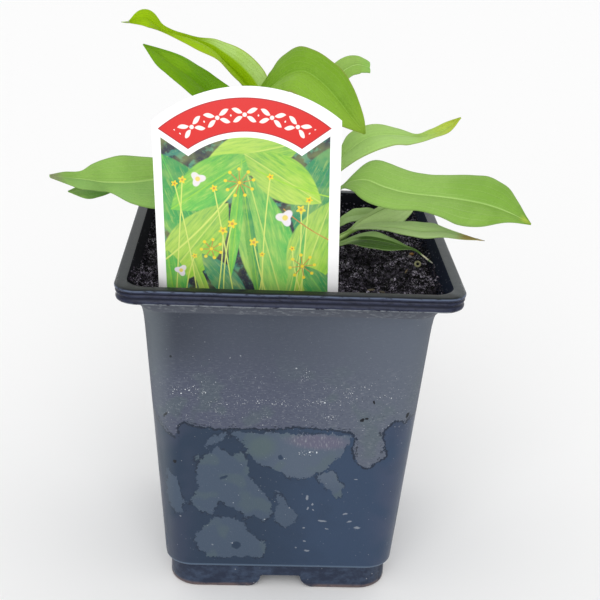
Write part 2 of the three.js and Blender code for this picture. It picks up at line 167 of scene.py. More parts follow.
class ShaderTree:
    """A material's node tree with one Principled shader."""

    def __init__(self, name: str) -> None:
        """Start an empty material.

        Args:
            name: The material's name.
        """
        self.material = bpy.data.materials.new(name)
        self.material.use_nodes = True
        self.tree = self.material.node_tree
        self.tree.nodes.clear()

    def add(self, kind: str, settings: dict | None = None, values: dict | None = None) -> bpy.types.Node:
        """Add a node of this material, as add_node does."""
        return add_node(self.tree, kind, settings, values)

    def node(self, kind: str, settings: dict | None = None, values: dict | None = None) -> Socket:
        """Add a node and return its first output."""
        return self.add(kind, settings, values).outputs[0]

    def place(self) -> Socket:
        """Return the point on the object, in millimetres."""
        return self.scaled(self.add("ShaderNodeTexCoord").outputs["Object"], 1 / METRES)

    def carried(self, name: str, output: str = "Fac") -> Wire:
        """Return a number that the mesh carries on its points."""
        return Wire(self, self.add("ShaderNodeAttribute", {"attribute_name": name}).outputs[output])

    def flat(self, scale: float = 1.0) -> tuple[Wire, Wire]:
        """Return the two coordinates of the piece's own UV map, each times scale."""
        u, v, _ = self.split(self.node("ShaderNodeUVMap", {"uv_map": "UVMap"}))
        return u * scale, v * scale

    def split(self, vector: Socket) -> tuple[Wire, Wire, Wire]:
        """Return the three numbers of a vector."""
        outputs = self.add("ShaderNodeSeparateXYZ", None, {0: vector}).outputs
        return tuple(Wire(self, output) for output in outputs)

    def join(self, x: Number, y: Number, z: Number = 0.0) -> Socket:
        """Return the vector of three numbers."""
        return self.node("ShaderNodeCombineXYZ", None, {0: x, 1: y, 2: z})

    def vector(self, operation: str, *values: Socket | tuple) -> Socket:
        """Return the vector that a Vector Math node makes of its inputs."""
        return self.node("ShaderNodeVectorMath", {"operation": operation}, dict(enumerate(values)))

    def scaled(self, vector: Socket, share: float) -> Socket:
        """Return a vector times a number."""
        return self.node("ShaderNodeVectorMath", {"operation": "SCALE"}, {0: vector, "Scale": share})

    def length(self, vector: Socket) -> Wire:
        """Return a vector's length."""
        node = self.add("ShaderNodeVectorMath", {"operation": "LENGTH"}, {0: vector})
        return Wire(self, node.outputs["Value"])

    def turned(self, vector: Socket, centre: tuple, angle: float, reach: tuple) -> Socket:
        """See a vector from a centre of its own.

        Args:
            vector: The vector.
            centre: The centre in X and Y.
            angle: How far the centre's axes are turned about Z, in radians.
            reach: The length that counts as 1 along each of them.

        Returns:
            The vector from that centre.
        """
        settings = {"vector_type": "TEXTURE"}
        values = {"Vector": vector, "Location": (*centre, 0), "Rotation": (0, 0, angle), "Scale": (*reach, 1)}
        return self.node("ShaderNodeMapping", settings, values)

    def grain(self, vector: Socket, size: float, detail: float = 2.0, rough: float = 0.5) -> Wire:
        """Return a noise between about 0.2 and 0.8 whose lumps are about size across."""
        values = {"Vector": vector, "Scale": 1 / size, "Detail": detail, "Roughness": rough}
        return Wire(self, self.node("ShaderNodeTexNoise", None, values))

    def shaken(self, vector: Socket, size: float, reach: float, detail: float = 2.0) -> Socket:
        """Move a vector about by a noise.

        Args:
            vector: The vector.
            size: How large the noise's lumps are.
            reach: About twice the distance that it moves.
            detail: The noise's detail.

        Returns:
            The moved vector.
        """
        values = {"Vector": vector, "Scale": 1 / size, "Detail": detail}
        shake = self.add("ShaderNodeTexNoise", None, values).outputs["Color"]
        centred = self.vector("SUBTRACT", shake, (0.5, 0.5, 0.5))
        return self.vector("ADD", vector, self.scaled(centred, reach))

    def cells(self, vector: Socket, size: float, feature: str = "F1") -> bpy.types.Node:
        """Return a Voronoi node whose cells are about size across."""
        return self.add("ShaderNodeTexVoronoi", {"feature": feature}, {"Vector": vector, "Scale": 1 / size})

    def dots(self, vector: Socket, size: float, reach: float, share: Number) -> Wire:
        """Return a mask of scattered dots.

        Args:
            vector: The place that the dots lie on.
            size: The distance between dots.
            reach: A dot's radius as a share of size.
            share: The share of the dots that there are.

        Returns:
            1 in a dot and 0 outside.
        """
        node = self.cells(vector, size)
        chance, _, _ = self.split(node.outputs["Color"])
        shown = (share - chance).rise(-0.02, 0.02)
        return Wire(self, node.outputs["Distance"]).fall(reach * 0.6, reach) * shown

    def mix(self, share: Number, first: Paint, second: Paint) -> Socket:
        """Mix two colours.

        Args:
            share: How much of the second there is, from 0 to 1.
            first: The colour at 0.
            second: The colour at 1.

        Returns:
            The colour between them.
        """
        node = self.add("ShaderNodeMix", {"data_type": "RGBA"}, {"Factor": share})
        sockets = [socket for socket in node.inputs if socket.type == "RGBA"]
        for socket, colour in zip(sockets, (first, second)):
            if isinstance(colour, Socket):
                self.tree.links.new(colour, socket)
            else:
                socket.default_value = colour
        return next(output for output in node.outputs if output.type == "RGBA")

    def lay(self, under: Paint, *layers: tuple[Number, Paint]) -> Paint:
        """Lay colours over each other.

        Args:
            under: The lowest colour.
            layers: The mask and the colour of each layer, from below.

        Returns:
            The colour of them all.
        """
        for mask, colour in layers:
            under = self.mix(mask, under, colour)
        return under

    def bump(self, height: Wire, depth: float) -> Socket:
        """Return the normal bent by a height from 0 to 1, where 1 stands depth millimetres proud."""
        values = {"Strength": 1.0, "Distance": depth * METRES, "Height": height}
        return self.node("ShaderNodeBump", None, values)

    def finish(self, **inputs: Number | Paint) -> Material:
        """Add the Principled shader and the output.

        Args:
            inputs: The shader's inputs, with underscores for the spaces in their names.

        Returns:
            The material.
        """
        values = {name.replace("_", " "): value for name, value in inputs.items()}
        shader = self.node("ShaderNodeBsdfPrincipled", None, values)
        self.add("ShaderNodeOutputMaterial", None, {"Surface": shader})
        return self.material


def add_node(tree: bpy.types.NodeTree, kind: str, settings: dict | None,
             values: dict | None) -> bpy.types.Node:
    """Add a node to a shader or geometry tree, set it up and join its inputs.

    Args:
        tree: The tree.
        kind: The node's type.
        settings: Its properties, which are set first.
        values: Its inputs by name or number: numbers, colours, vectors, wires or sockets.

    Returns:
        The node.
    """
    node = tree.nodes.new(kind)
    for name, value in (settings or {}).items():
        setattr(node, name, value)
    for name, value in (values or {}).items():
        source = value.socket if isinstance(value, Wire) else value
        if isinstance(source, Socket):
            tree.links.new(source, node.inputs[name])
        else:
            node.inputs[name].default_value = source
    return node


# Meshes


def add_mesh(name: str, vertices: np.ndarray | Points, faces: Faces, sharp: float | None = None) -> Piece:
    """Make a mesh object at the origin from vertices in millimetres.

    Args:
        name: The object's name.
        vertices: One row of x, y and z for each vertex.
        faces: Vertex numbers of each face, counterclockwise from outside.
        sharp: The angle in degrees past which an edge stays sharp, or None to keep all faces flat.

    Returns:
        The object, in the scene.
    """
    mesh = bpy.data.meshes.new(name)
    mesh.from_pydata((np.asarray(vertices, float) * METRES).tolist(), [], faces)
    mesh.update()
    if sharp is not None:
        smooth(mesh, sharp)
    piece = bpy.data.objects.new(name, mesh)
    bpy.context.scene.collection.objects.link(piece)
    return piece


def smooth(mesh: bpy.types.Mesh, sharp: float) -> None:
    """Shade a mesh smooth, apart from edges sharper than an angle in degrees."""
    mesh.shade_smooth()
    mesh.set_sharp_from_angle(angle=math.radians(sharp))


def bake_modifiers(piece: Piece) -> None:
    """Give an object the mesh that its modifiers make, and remove them.

    Args:
        piece: The object.
    """
    graph = bpy.context.evaluated_depsgraph_get()
    made = bpy.data.meshes.new_from_object(piece.evaluated_get(graph))
    piece.modifiers.clear()
    old = piece.data
    piece.data = made
    made.name = piece.name
    bpy.data.meshes.remove(old)


def subtract(piece: Piece, cutter: Piece) -> None:
    """Cut one closed mesh out of another and remove the cutter.

    Args:
        piece: The object that is cut.
        cutter: The object whose form is taken away.
    """
    cut = piece.modifiers.new("cut", "BOOLEAN")
    cut.operation = "DIFFERENCE"
    cut.solver = "EXACT"
    cut.object = cutter
    bake_modifiers(piece)
    bpy.data.objects.remove(cutter)


def ring_faces(rings: int, around: int, first: int = 0) -> Faces:
    """Join rings of vertices that follow each other, each ring closed on itself.

    Args:
        rings: How many rings there are.
        around: How many vertices each has.
        first: The number of the first vertex.

    Returns:
        The quads between them.
    """
    faces = []
    for ring in range(rings - 1):
        start = first + ring * around
        for i in range(around):
            after = (i + 1) % around
            faces.append((start + i, start + after, start + around + after, start + around + i))
    return faces


def tube_faces(rings: int, around: int, first: int = 0) -> Faces:
    """Join rings as ring_faces does, and close both ends.

    Args:
        rings: How many rings there are.
        around: How many vertices each has.
        first: The number of the first vertex.

    Returns:
        The quads and the two ends.
    """
    last = first + (rings - 1) * around
    ends = [tuple(range(first + around - 1, first - 1, -1)), tuple(range(last, last + around))]
    return ring_faces(rings, around, first) + ends


def round_square(half: float, corner: float, side_steps: int, corner_steps: int) -> Outline:
    """Lay out a square with round corners.

    Args:
        half: Half of its width.
        corner: The radius of its corners.
        side_steps: How many parts each side has.
        corner_steps: How many parts each corner has.

    Returns:
        Its points, counterclockwise from above.
    """
    reach = half - corner
    points = []
    for quarter in range(4):
        turn = math.radians(90 * quarter)
        c, s = math.cos(turn), math.sin(turn)
        flat = [(-reach + 2 * reach * i / side_steps, -half) for i in range(side_steps)]
        for i in range(corner_steps):
            angle = math.radians(-90 + 90 * i / corner_steps)
            flat.append((reach + corner * math.cos(angle), -reach + corner * math.sin(angle)))
        points += [(x * c - y * s, x * s + y * c) for x, y in flat]
    return points


def prism(name: str, outline: Outline, reach: float, turned: bool = False) -> Piece:
    """Make a closed bar.

    Args:
        name: The object's name.
        outline: The section's corners in X and Z, counterclockwise from the front.
        reach: How far the bar runs to each side of the middle.
        turned: True to let it run along X, not along Y.

    Returns:
        The object, whose first face is the front.
    """
    vertices = [(x, y, z) for y in (-reach, reach) for x, z in outline]
    if turned:
        vertices = [(-y, x, z) for x, y, z in vertices]
    count = len(outline)
    faces = [tuple(range(count)), tuple(range(2 * count - 1, count - 1, -1))]
    faces += [(count + i, count + (i + 1) % count, (i + 1) % count, i) for i in range(count)]
    return add_mesh(name, vertices, faces)


def dress(piece: Piece, slot: str, material: Material, *nodes: str) -> Piece:
    """Finish a piece: its material, the body it rides on and the nodes it stands for.

    Args:
        piece: The piece, at rest.
        slot: The slot's name; not used.
        material: What its faces are made of, unless they have that material already.
        nodes: The nodes that it replaces, if any.

    Returns:
        The same piece.
    """
    if material.name not in piece.data.materials:
        piece.data.materials.append(material)
    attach(piece, BODY)
    if nodes:
        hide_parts(*nodes)
    LOG.info("%s: %d faces, stands for %s", piece.name, len(piece.data.polygons), nodes or "no node")
    return piece


def depth_inside(points: np.ndarray, outline: np.ndarray) -> np.ndarray:
    """Measure how far flat points lie inside a closed outline.

    Args:
        points: One row for each point.
        outline: One row for each corner.

    Returns:
        Each point's distance to the outline, with a minus sign outside it.
    """
    nearest = np.full(len(points), np.inf)
    inside = np.zeros(len(points), bool)
    for start, end in zip(outline, np.roll(outline, -1, axis=0)):
        edge = end - start
        along = np.clip((points - start) @ edge / (edge @ edge), 0, 1)
        nearest = np.minimum(nearest, np.linalg.norm(points - start - along[:, None] * edge, axis=1))
        spans = (start[1] > points[:, 1]) != (end[1] > points[:, 1])
        slope = edge[0] / edge[1] if edge[1] else 0.0
        inside ^= spans & (points[:, 0] < start[0] + (points[:, 1] - start[1]) * slope)
    return np.where(inside, nearest, -nearest)


# Pot


@dataclass(frozen=True)
class Mark:
    """An oval patch on the front wall: its middle, half sizes and tilt in degrees."""

    x: float
    z: float
    half_x: float
    half_z: float
    tilt: float = 0.0


@dataclass(frozen=True)
class WaterMarks:
    """The dry part of the front wall and the dry patches below it, by their outlines in X and Z.

    Only points beyond front towards -Y carry them, and the shader lets them fade in over blend.
    """

    dry_name: str = "dry"
    patch_name: str = "patch"
    far: float = 9.0
    front: float = 28.5
    blend: float = 4.5
    dry: tuple = (
        ((-45, 60.5), (-36.5, 59.2), (-34.8, 56.5), (-32.9, 54.3), (-30.4, 53.0), (-29.6, 54.0),
         (-30.0, 56.4), (-28.2, 58.0), (-25.9, 56.6), (-20.5, 56.3), (-15.0, 55.9), (-9.0, 56.5),
         (-6.4, 56.0), (3.0, 57.0), (11.0, 56.7), (18.4, 56.0), (19.7, 54.5), (20.4, 52.0), (19.4, 49.7),
         (20.3, 45.6), (23.6, 43.8), (26.3, 45.8), (28.4, 47.8), (27.9, 50.8), (26.9, 55.5), (28.4, 57.9),
         (30.6, 60.0), (33.1, 58.7), (34.8, 60.1), (45, 60.5), (45, 120), (-45, 120)),
    )
    patches: tuple = (
        ((-18.7, 49.5), (-14.5, 46.8), (-11.9, 49.0), (-10.1, 45.5), (-9.4, 39.7), (-5.8, 35.4),
         (-3.3, 31.8), (-2.6, 27.3), (-4.9, 24.1), (-7.4, 27.2), (-10.4, 26.0), (-13.3, 28.9),
         (-17.9, 31.4), (-20.0, 26.9), (-23.3, 27.7), (-26.7, 31.5), (-23.7, 34.1), (-24.3, 41.5),
         (-23.4, 45.1)),
        ((-24.3, 46.9), (-23.2, 45.5), (-24.3, 44.1), (-25.4, 45.4)),
        ((-22.4, 50.0), (-20.6, 52.9), (-16.7, 54.2), (-15.7, 52.8), (-18.6, 51.1), (-21.5, 49.3)),
        ((-20.2, 24.2), (-17.8, 26.2), (-14.1, 25.5), (-11.0, 24.2), (-8.4, 19.5), (-4.7, 17.3),
         (-3.8, 14.6), (-5.1, 11.8), (-20.1, 11.5), (-23.9, 14.5), (-24.8, 18.4), (-23.9, 20.7)),
        ((-1.5, 37.0), (0.5, 32.5), (2.2, 29.7), (4.7, 27.5), (3.8, 23.5), (1.0, 23.0), (-1.8, 25.0),
         (-1.7, 29.2), (-0.7, 31.1), (-1.9, 34.4)),
        ((-14.8, 55.6), (-11.1, 54.8), (18.7, 54.7), (18.4, 52.5), (15.4, 47.3), (11.5, 42.5), (6.7, 40.0),
         (2.5, 39.7), (-2.4, 42.7), (-7.3, 44.7), (-9.9, 48.4), (-11.9, 52.6), (-14.6, 53.7)),
        ((9.5, 39.6), (11.5, 41.9), (14.5, 42.9), (15.3, 39.5), (17.1, 38.6), (16.6, 32.1), (15.0, 33.9),
         (12.3, 37.2)),
        ((-32.6, 41.7), (-30.0, 38.5), (-28.1, 32.6), (-28.1, 27.4), (-30.0, 26.4), (-32.2, 30.3),
         (-33.0, 36.2)),
    )

    def write(self, piece: Piece) -> None:
        """Store on each point how far it lies inside the dry part and inside the nearest patch.

        Args:
            piece: The pot.
        """
        mesh = piece.data
        flat = np.empty(3 * len(mesh.vertices), np.float32)
        mesh.vertices.foreach_get("co", flat)
        points = flat.reshape(-1, 3).astype(float) / METRES
        for name, outlines in ((self.dry_name, self.dry), (self.patch_name, self.patches)):
            depth = np.full(len(points), -self.far)
            for outline in outlines:
                depth = np.maximum(depth, depth_inside(points[:, [0, 2]], np.array(outline, float)))
            depth[points[:, 1] > -self.front] = -self.far
            mesh.attributes.new(name, "FLOAT", "POINT").data.foreach_set("value", depth.astype(np.float32))


@dataclass(frozen=True)
class PotFinish:
    """Blue-grey moulded plastic, dry and dusty above a tide line and wet below it, with painted highlights,
    reflections and shade on the rim, the foot, the corners and the drops.
    """

    dry_top: Colour = srgb(65, 71, 83)
    dry_left: Colour = srgb(55, 60, 71)
    dry_low: Colour = srgb(73, 78, 95)
    dry_right: Colour = srgb(88, 95, 107)
    # Painted sheen on the pot's rounded corners.
    wear_and_sheen: Colour = srgb(113, 121, 126)
    wet: Colour = srgb(39, 53, 72)
    wet_right: Colour = srgb(47, 63, 86)
    wet_dark: Colour = srgb(29, 36, 49)
    patch: Colour = srgb(64, 77, 94)
    patch_right: Colour = srgb(79, 90, 105)
    green: Colour = srgb(77, 92, 92)
    mauve: Colour = srgb(92, 88, 107)
    dust: Colour = srgb(139, 144, 150)
    # Painted glint: the white of the water drops stands in for the light they catch.
    drop_glint: Colour = srgb(225, 230, 235)
    pit: Colour = srgb(16, 19, 26)
    foot: Colour = srgb(36, 44, 62)
    foot_pale: Colour = srgb(64, 78, 100)
    silt: Colour = srgb(96, 83, 83)
    # Painted highlight along the top of the foot's step.
    ledge_highlight: Colour = srgb(81, 98, 118)
    flange: Colour = srgb(41, 46, 48)
    # Painted reflection: the flange's colour to the right, where it mirrors the bright sky.
    flange_right_reflection: Colour = srgb(66, 71, 74)
    # Painted shade: the flange's darkened front strip.
    flange_front_shade: Colour = srgb(20, 24, 28)
    # Painted highlight along the rim's upper outer edge.
    flange_edge_highlight: Colour = srgb(88, 100, 122)
    # Painted shade: the near-black inner wall above the soil, bluer on the right.
    lining: Colour = srgb(13, 14, 20)
    shaded_lining_blue: Colour = srgb(18, 24, 38)
    lining_speck: Colour = srgb(90, 90, 98)
    # Painted light: lighter than the wall, to make up for the shade under the rim.
    shoulder: Colour = srgb(78, 82, 92)
    # Painted highlight on the skirt's lower edge and in streaks on the shoulder.
    rim_highlight: Colour = srgb(130, 136, 141)
    skirt: Colour = srgb(15, 19, 37)
    # Painted highlights on the skirt's ridges between its grooves.
    skirt_rib_highlight: Colour = srgb(43, 48, 70)
    tide_other: float = 51.0
    tide_from: float = 4.0
    tide_climb: float = 5.0
    tide_wander: float = 9.0
    foot_top: float = 8.1
    silt_top: float = 1.7
    shoulder_bottom: float = 91.6
    skirt_bottom: float = 95.6
    lower_groove: float = 97.4
    upper_groove: float = 98.7
    rim_edge: float = 99.55
    rim_top: float = 99.85
    stain: Mark = Mark(9.5, 52.2, 9.5, 2.8, -3)
    clean: Mark = Mark(-6.5, 50.0, 5.0, 4.5, 20)
    holes: tuple[Mark, ...] = (
        Mark(-16.7, 39.6, 1.3, 0.5, 20),
        Mark(-12.7, 15.9, 1.4, 1.3, -25),
        Mark(-0.9, 46.8, 0.7, 0.8, 15),
    )
    pits: tuple[Mark, ...] = (
        Mark(21.2, 59.6, 0.7, 0.5, 25),
        Mark(22.4, 60.1, 0.5, 0.4),
        Mark(33.8, 60.8, 0.5, 0.9, -20),
        Mark(-30.4, 44.4, 0.5, 0.6),
        Mark(-31.3, 78.1, 0.4, 0.3),
        Mark(-33.0, 59.4, 0.35, 1.2, -30),
        Mark(24.1, 65.4, 0.3, 0.7),
    )
    showers: tuple[Mark, ...] = (
        Mark(-29.9, 67.5, 2.2, 1.2),
        Mark(-25.0, 68.0, 1.6, 1.6),
        Mark(-22.5, 69.5, 0.7, 4.0),
        Mark(-18.5, 64.1, 2.6, 0.9),
        Mark(-12.0, 64.7, 2.4, 0.9),
        Mark(-7.6, 64.7, 1.6, 0.9),
        Mark(-1.4, 64.6, 3.6, 0.9),
        Mark(4.4, 73.6, 1.8, 2.0),
        Mark(8.4, 65.0, 3.0, 0.9),
        Mark(17.4, 67.4, 2.0, 2.2),
        Mark(14.5, 65.0, 1.6, 0.8),
        Mark(21.6, 69.7, 2.0, 1.4),
        Mark(25.8, 67.0, 2.6, 1.0),
        Mark(-5.7, 59.9, 1.6, 1.0),
        Mark(12.5, 60.4, 2.4, 1.0),
        Mark(-32.8, 60.2, 0.8, 2.0, -30),
        Mark(-18.2, 61.2, 1.2, 0.6),
        Mark(0.3, 46.6, 1.0, 0.6),
        Mark(6.5, 48.4, 2.6, 1.0),
    )
    smears: tuple[Mark, ...] = (
        Mark(11.9, 25.2, 1.3, 0.35, -6),
        Mark(19.7, 25.0, 0.9, 0.35, 18),
        Mark(22.1, 23.0, 1.1, 0.4, 4),
        Mark(7.9, 14.3, 0.8, 0.4),
        Mark(7.2, 33.2, 0.35, 0.9),
        Mark(7.6, 29.4, 0.3, 0.6),
        Mark(8.8, 31.0, 0.35, 0.4),
        Mark(20.7, 39.8, 0.5, 0.25),
        Mark(18.4, 27.8, 0.9, 0.3, 12),
        Mark(7.0, 17.8, 0.5, 0.25),
        Mark(6.6, 22.6, 0.4, 0.3),
        Mark(13.4, 22.4, 0.6, 0.2, -10),
    )

    def lining_material(self) -> Material:
        """Make the material of the inner walls above the soil: dull, specked with peat, and near black as
        painted shade.

        Returns:
            The material.
        """
        tree = ShaderTree("pot_lining")
        place = tree.place()
        x, _, z = tree.split(place)
        shaken = tree.shaken(place, 0.8, 0.7)
        fine = tree.grain(place, 0.5, 3, 0.6)
        specks = tree.dots(shaken, 0.6, 0.4, z.fall(94, 99) * 0.4 + 0.1)
        # Painted shade: the inner wall is near black, bluer on the right, as if in the rim's shade.
        bluer = tree.mix(x.rise(30, 40), self.lining, self.shaded_lining_blue)
        return tree.finish(
            Base_Color=tree.mix(specks * 0.6, bluer, self.lining_speck),
            Roughness=0.7 + fine * 0.2,
            Specular_IOR_Level=0.04,
            Normal=tree.bump(fine, 0.05),
        )


class PotShader(ShaderTree):
    """The pot's plastic in layers: wet wall, dried patches, dry wall, drops, foot and rim."""

    def __init__(self, look: PotFinish, marks: WaterMarks) -> None:
        """Make the places, grains and depths that the layers share.

        Args:
            look: The colours, heights and marks.
            marks: The water marks that the mesh carries.
        """
        super().__init__("pot_plastic")
        self.look = look
        self.spot = self.place()
        self.x, self.y, self.z = self.split(self.spot)
        forward = self.y * -1
        self.front = forward.rise(marks.front, marks.front + marks.blend)
        self.fine = self.grain(self.spot, 0.45, 3, 0.65)
        self.broad = self.grain(self.spot, 14, 3)
        self.tone = self.grain(self.spot, 7, 1)
        shaken_x, _, shaken_z = self.split(self.shaken(self.spot, 0.9, 0.9, 3))
        self.wall = self.join(shaken_x, shaken_z)
        ragged = (self.grain(self.spot, 2.1, 2, 0.6) - 0.5) * 3.0
        ragged = ragged + (self.grain(self.spot, 0.55, 3, 0.7) - 0.5) * 2.2
        patches = (self.grain(self.shaken(self.spot, 3, 2.5), 10, 1) - 0.57) * 34
        tide = self.z - look.tide_other - forward.rise(look.tide_from, marks.front) * look.tide_climb
        tide = tide - self.broad * look.tide_wander
        others = 1 - self.front
        self.patch_depth = self.carried(marks.patch_name) * self.front + patches * others + ragged
        self.dry_depth = self.carried(marks.dry_name) * self.front + tide * others + ragged * 0.8

    def nearest(self, place: Socket, marks: tuple[Mark, ...]) -> Wire:
        """Measure the distance to the nearest mark.

        Args:
            place: Where it is measured from, with the height as its second number.
            marks: The marks.

        Returns:
            The distance, where 1 is a mark's outline.
        """
        found = None
        for mark in marks:
            reach = (mark.half_x, mark.half_z)
            away = self.length(self.turned(place, (mark.x, mark.z), math.radians(mark.tilt), reach))
            found = away if found is None else found.least(away)
        return found

    def build(self) -> Material:
        """Lay the layers over each other.

        Returns:
            The pot's material.
        """
        look = self.look
        dry = self.dry_depth.rise(-0.08, 0.08)
        holes = self.nearest(self.wall, look.holes).fall(0.8, 1.15) * self.front
        patch = self.patch_depth.rise(-0.08, 0.08) * (1 - holes)
        wet = (1 - dry) * (1 - patch)
        walls = self.lay(
            self.wet_wall(),
            (patch, self.dried_patches()),
            (dry, self.dry_wall()),
            (self.brinks(), look.wet_dark),
        )
        colour, drops, smears = self.drops(walls)
        pits = self.nearest(self.wall, look.pits).fall(0.8, 1.1) * self.front
        # Painted sheen: the rounded corners are lightened, mostly on the left, as if they mirrored the bright
        # surroundings.
        corner = self.x.size().least(self.y.size()).rise(29, 38) * (self.x.fall(-10, 10) * 0.4 + 0.12)
        colour = self.rim(self.foot(self.lay(colour, (pits, look.pit), (corner, look.wear_and_sheen))))
        rim = self.z.rise(look.skirt_bottom - 0.2, look.skirt_bottom + 0.2)
        height = self.fine * 0.35 + self.broad * 0.25 + drops * 0.9 + smears * 0.6 - wet * 0.15
        return self.finish(
            Base_Color=colour,
            Roughness=0.5 - wet * 0.22 - rim * 0.2 + self.fine * 0.12,
            Specular_IOR_Level=0.22,
            Normal=self.bump(height, 0.1),
        )

    def dry_wall(self) -> Socket:
        """Colour the dry wall: darker towards the rim and at the upper left, lighter low down and towards the
        right, with dust streaks low down.

        Returns:
            The colour.
        """
        look = self.look
        low = self.z.fall(64, 84)
        streaks = self.grain(self.vector("MULTIPLY", self.spot, (0.3, 0.3, 1.0)), 0.35, 2, 0.6)
        return self.lay(
            look.dry_low,
            (self.z.rise(60, 90), look.dry_top),
            (self.x.rise(-8, 36) * 0.8, look.dry_right),
            (self.x.fall(-32, -14) * self.z.rise(70, 86), look.dry_left),
            (self.tone.fall(0.36, 0.5) * low * 0.35, look.green),
            (streaks.rise(0.5, 0.75) * (low * 0.2 + 0.05), look.dust),
            (self.fine.fall(0.25, 0.45) * (low * 0.4 + 0.1), look.wet_dark),
        )

    def dried_patches(self) -> Socket:
        """Colour the patches that have dried: greyer, and mauve with white dust in one place.

        Returns:
            The colour.
        """
        look = self.look
        clean = self.nearest(self.wall, (look.clean,)).fall(0.4, 1.2) * self.front
        stain = self.nearest(self.wall, (look.stain,)).fall(0.5, 1.2) * self.front
        drips = self.grain(self.vector("MULTIPLY", self.spot, (1.0, 1.0, 0.28)), 0.5, 2, 0.7).rise(0.5, 0.75)
        return self.lay(
            look.patch,
            (self.x.rise(-12, 4) * self.z.rise(30, 42) * 0.8, look.patch_right),
            ((self.tone.fall(0.36, 0.5) * 0.35).most(clean * 0.7), look.green),
            (stain * 0.75, look.mauve),
            ((drips * stain * 0.7).most(self.fine.rise(0.55, 0.8) * 0.12), look.dust),
        )

    def wet_wall(self) -> Socket:
        """Colour the wet wall: bluer to the right and mauve towards the corners.

        Returns:
            The colour.
        """
        look = self.look
        corner = self.x.size().least(self.y.size()).rise(22, 32)
        return self.lay(
            look.wet,
            (self.x.rise(-10, 14), look.wet_right),
            (corner * self.grain(self.spot, 9, 1).rise(0.35, 0.6) * 0.16, look.mauve),
            (self.broad.rise(0.5, 0.8) * 0.2, look.wet_dark),
        )

    def brinks(self) -> Wire:
        """Find the dark lines that run below the tide line and beside the patches.

        Returns:
            Their mask.
        """
        broken = self.grain(self.spot, 3.2, 2, 0.6)
        tide = self.dry_depth.band(0.55, 0.08, 0.15) * broken.rise(0.5, 0.56)
        tide = self.dry_depth.band(-0.35, 0.2, 0.2).most(tide)
        patch = self.patch_depth.band(-0.25, 0.1, 0.25) * broken.rise(0.42, 0.6) * 0.6
        return (tide * broken.rise(0.3, 0.4) * 0.85).most(patch * self.dry_depth.fall(-0.2, 0.2))

    def drops(self, under: Socket) -> tuple[Socket, Wire, Wire]:
        """Lay drops and smears over the wall, with painted glints on the drops and painted shadows beside
        them.

        Args:
            under: The wall's colour.

        Returns:
            The colour with them, and the masks of both.
        """
        look = self.look
        shower = self.nearest(self.join(self.x, self.z), look.showers).fall(0.5, 1.5) * self.front
        zone = self.z.band(64, 4, 9)
        loose = self.shaken(self.spot, 1.3, 0.9, 2)
        large = self.dots(loose, 1.15, 0.24, shower * 0.3)
        small = self.dots(loose, 0.62, 0.3, shower * 0.42 + zone * 0.015)
        specks = self.dots(loose, 0.38, 0.36, zone * 0.1 + shower * 0.3)
        # Painted shadows: dark dots just beside the drops stand in for the shadows they cast.
        shade = self.dots(self.vector("ADD", loose, (0.12, 0, 0.2)), 0.62, 0.42, shower * 0.42)
        smears = self.nearest(self.wall, look.smears).fall(0.6, 1.1) * self.front
        # Painted glints: the white of the drops, faint on the specks and smears.
        bright = (large * 0.85).most(small * 0.55).most(specks * 0.25).most(smears * 0.2)
        colour = self.lay(under, (shade * 0.4, look.wet_dark), (bright, look.drop_glint))
        return colour, large.most(small), smears

    def foot(self, under: Socket) -> Socket:
        """Lay the foot's colours over the wall's: dark and scuffed, with a silty edge and a painted highlight
        along the top of its step.

        Args:
            under: The wall's colour.

        Returns:
            The colour with the foot.
        """
        look = self.look
        scuffs = self.grain(self.vector("MULTIPLY", self.spot, (0.6, 0.6, 1.0)), 2.2, 4, 0.7)
        foot = self.lay(
            look.foot,
            (scuffs.rise(0.4, 0.7) * 0.6, look.foot_pale),
            (self.dots(self.spot, 0.8, 0.26, 0.05), look.dust),
            (self.z.fall(look.silt_top - 1, look.silt_top) * scuffs.rise(0.35, 0.55), look.silt),
        )
        # Painted highlight along the top of the foot's step, broken by scuffs.
        ledge_highlight = self.z.band(look.foot_top + 0.45, 0.25, 0.35) * scuffs.rise(0.25, 0.4)
        return self.lay(
            under,
            (self.z.fall(look.foot_top - 0.1, look.foot_top + 0.1), foot),
            (ledge_highlight * 0.85, look.ledge_highlight),
        )

    def rim(self, under: Socket) -> Socket:
        """Lay the rim's colours over the wall's: shoulder, ribbed skirt and flange, with painted highlights
        on the edges and ridges, a painted reflection and painted shade on the flange, and a shoulder painted
        lighter.

        Args:
            under: The wall's colour.

        Returns:
            The colour with the rim.
        """
        look = self.look
        shaken = self.z + (self.grain(self.spot, 7, 2) - 0.5) * 0.3
        # A patchy noise that breaks up the rim's wear and its painted highlights.
        wear_and_sheen = self.grain(self.vector("MULTIPLY", self.spot, (0.35, 0.35, 1.0)), 0.6, 3, 0.65)
        # Painted highlights on the skirt's ridges between its grooves.
        rib_highlights = (shaken - look.lower_groove).size().rise(0.1, 0.6)
        rib_highlights = rib_highlights * (shaken - look.upper_groove).size().rise(0.1, 0.35)
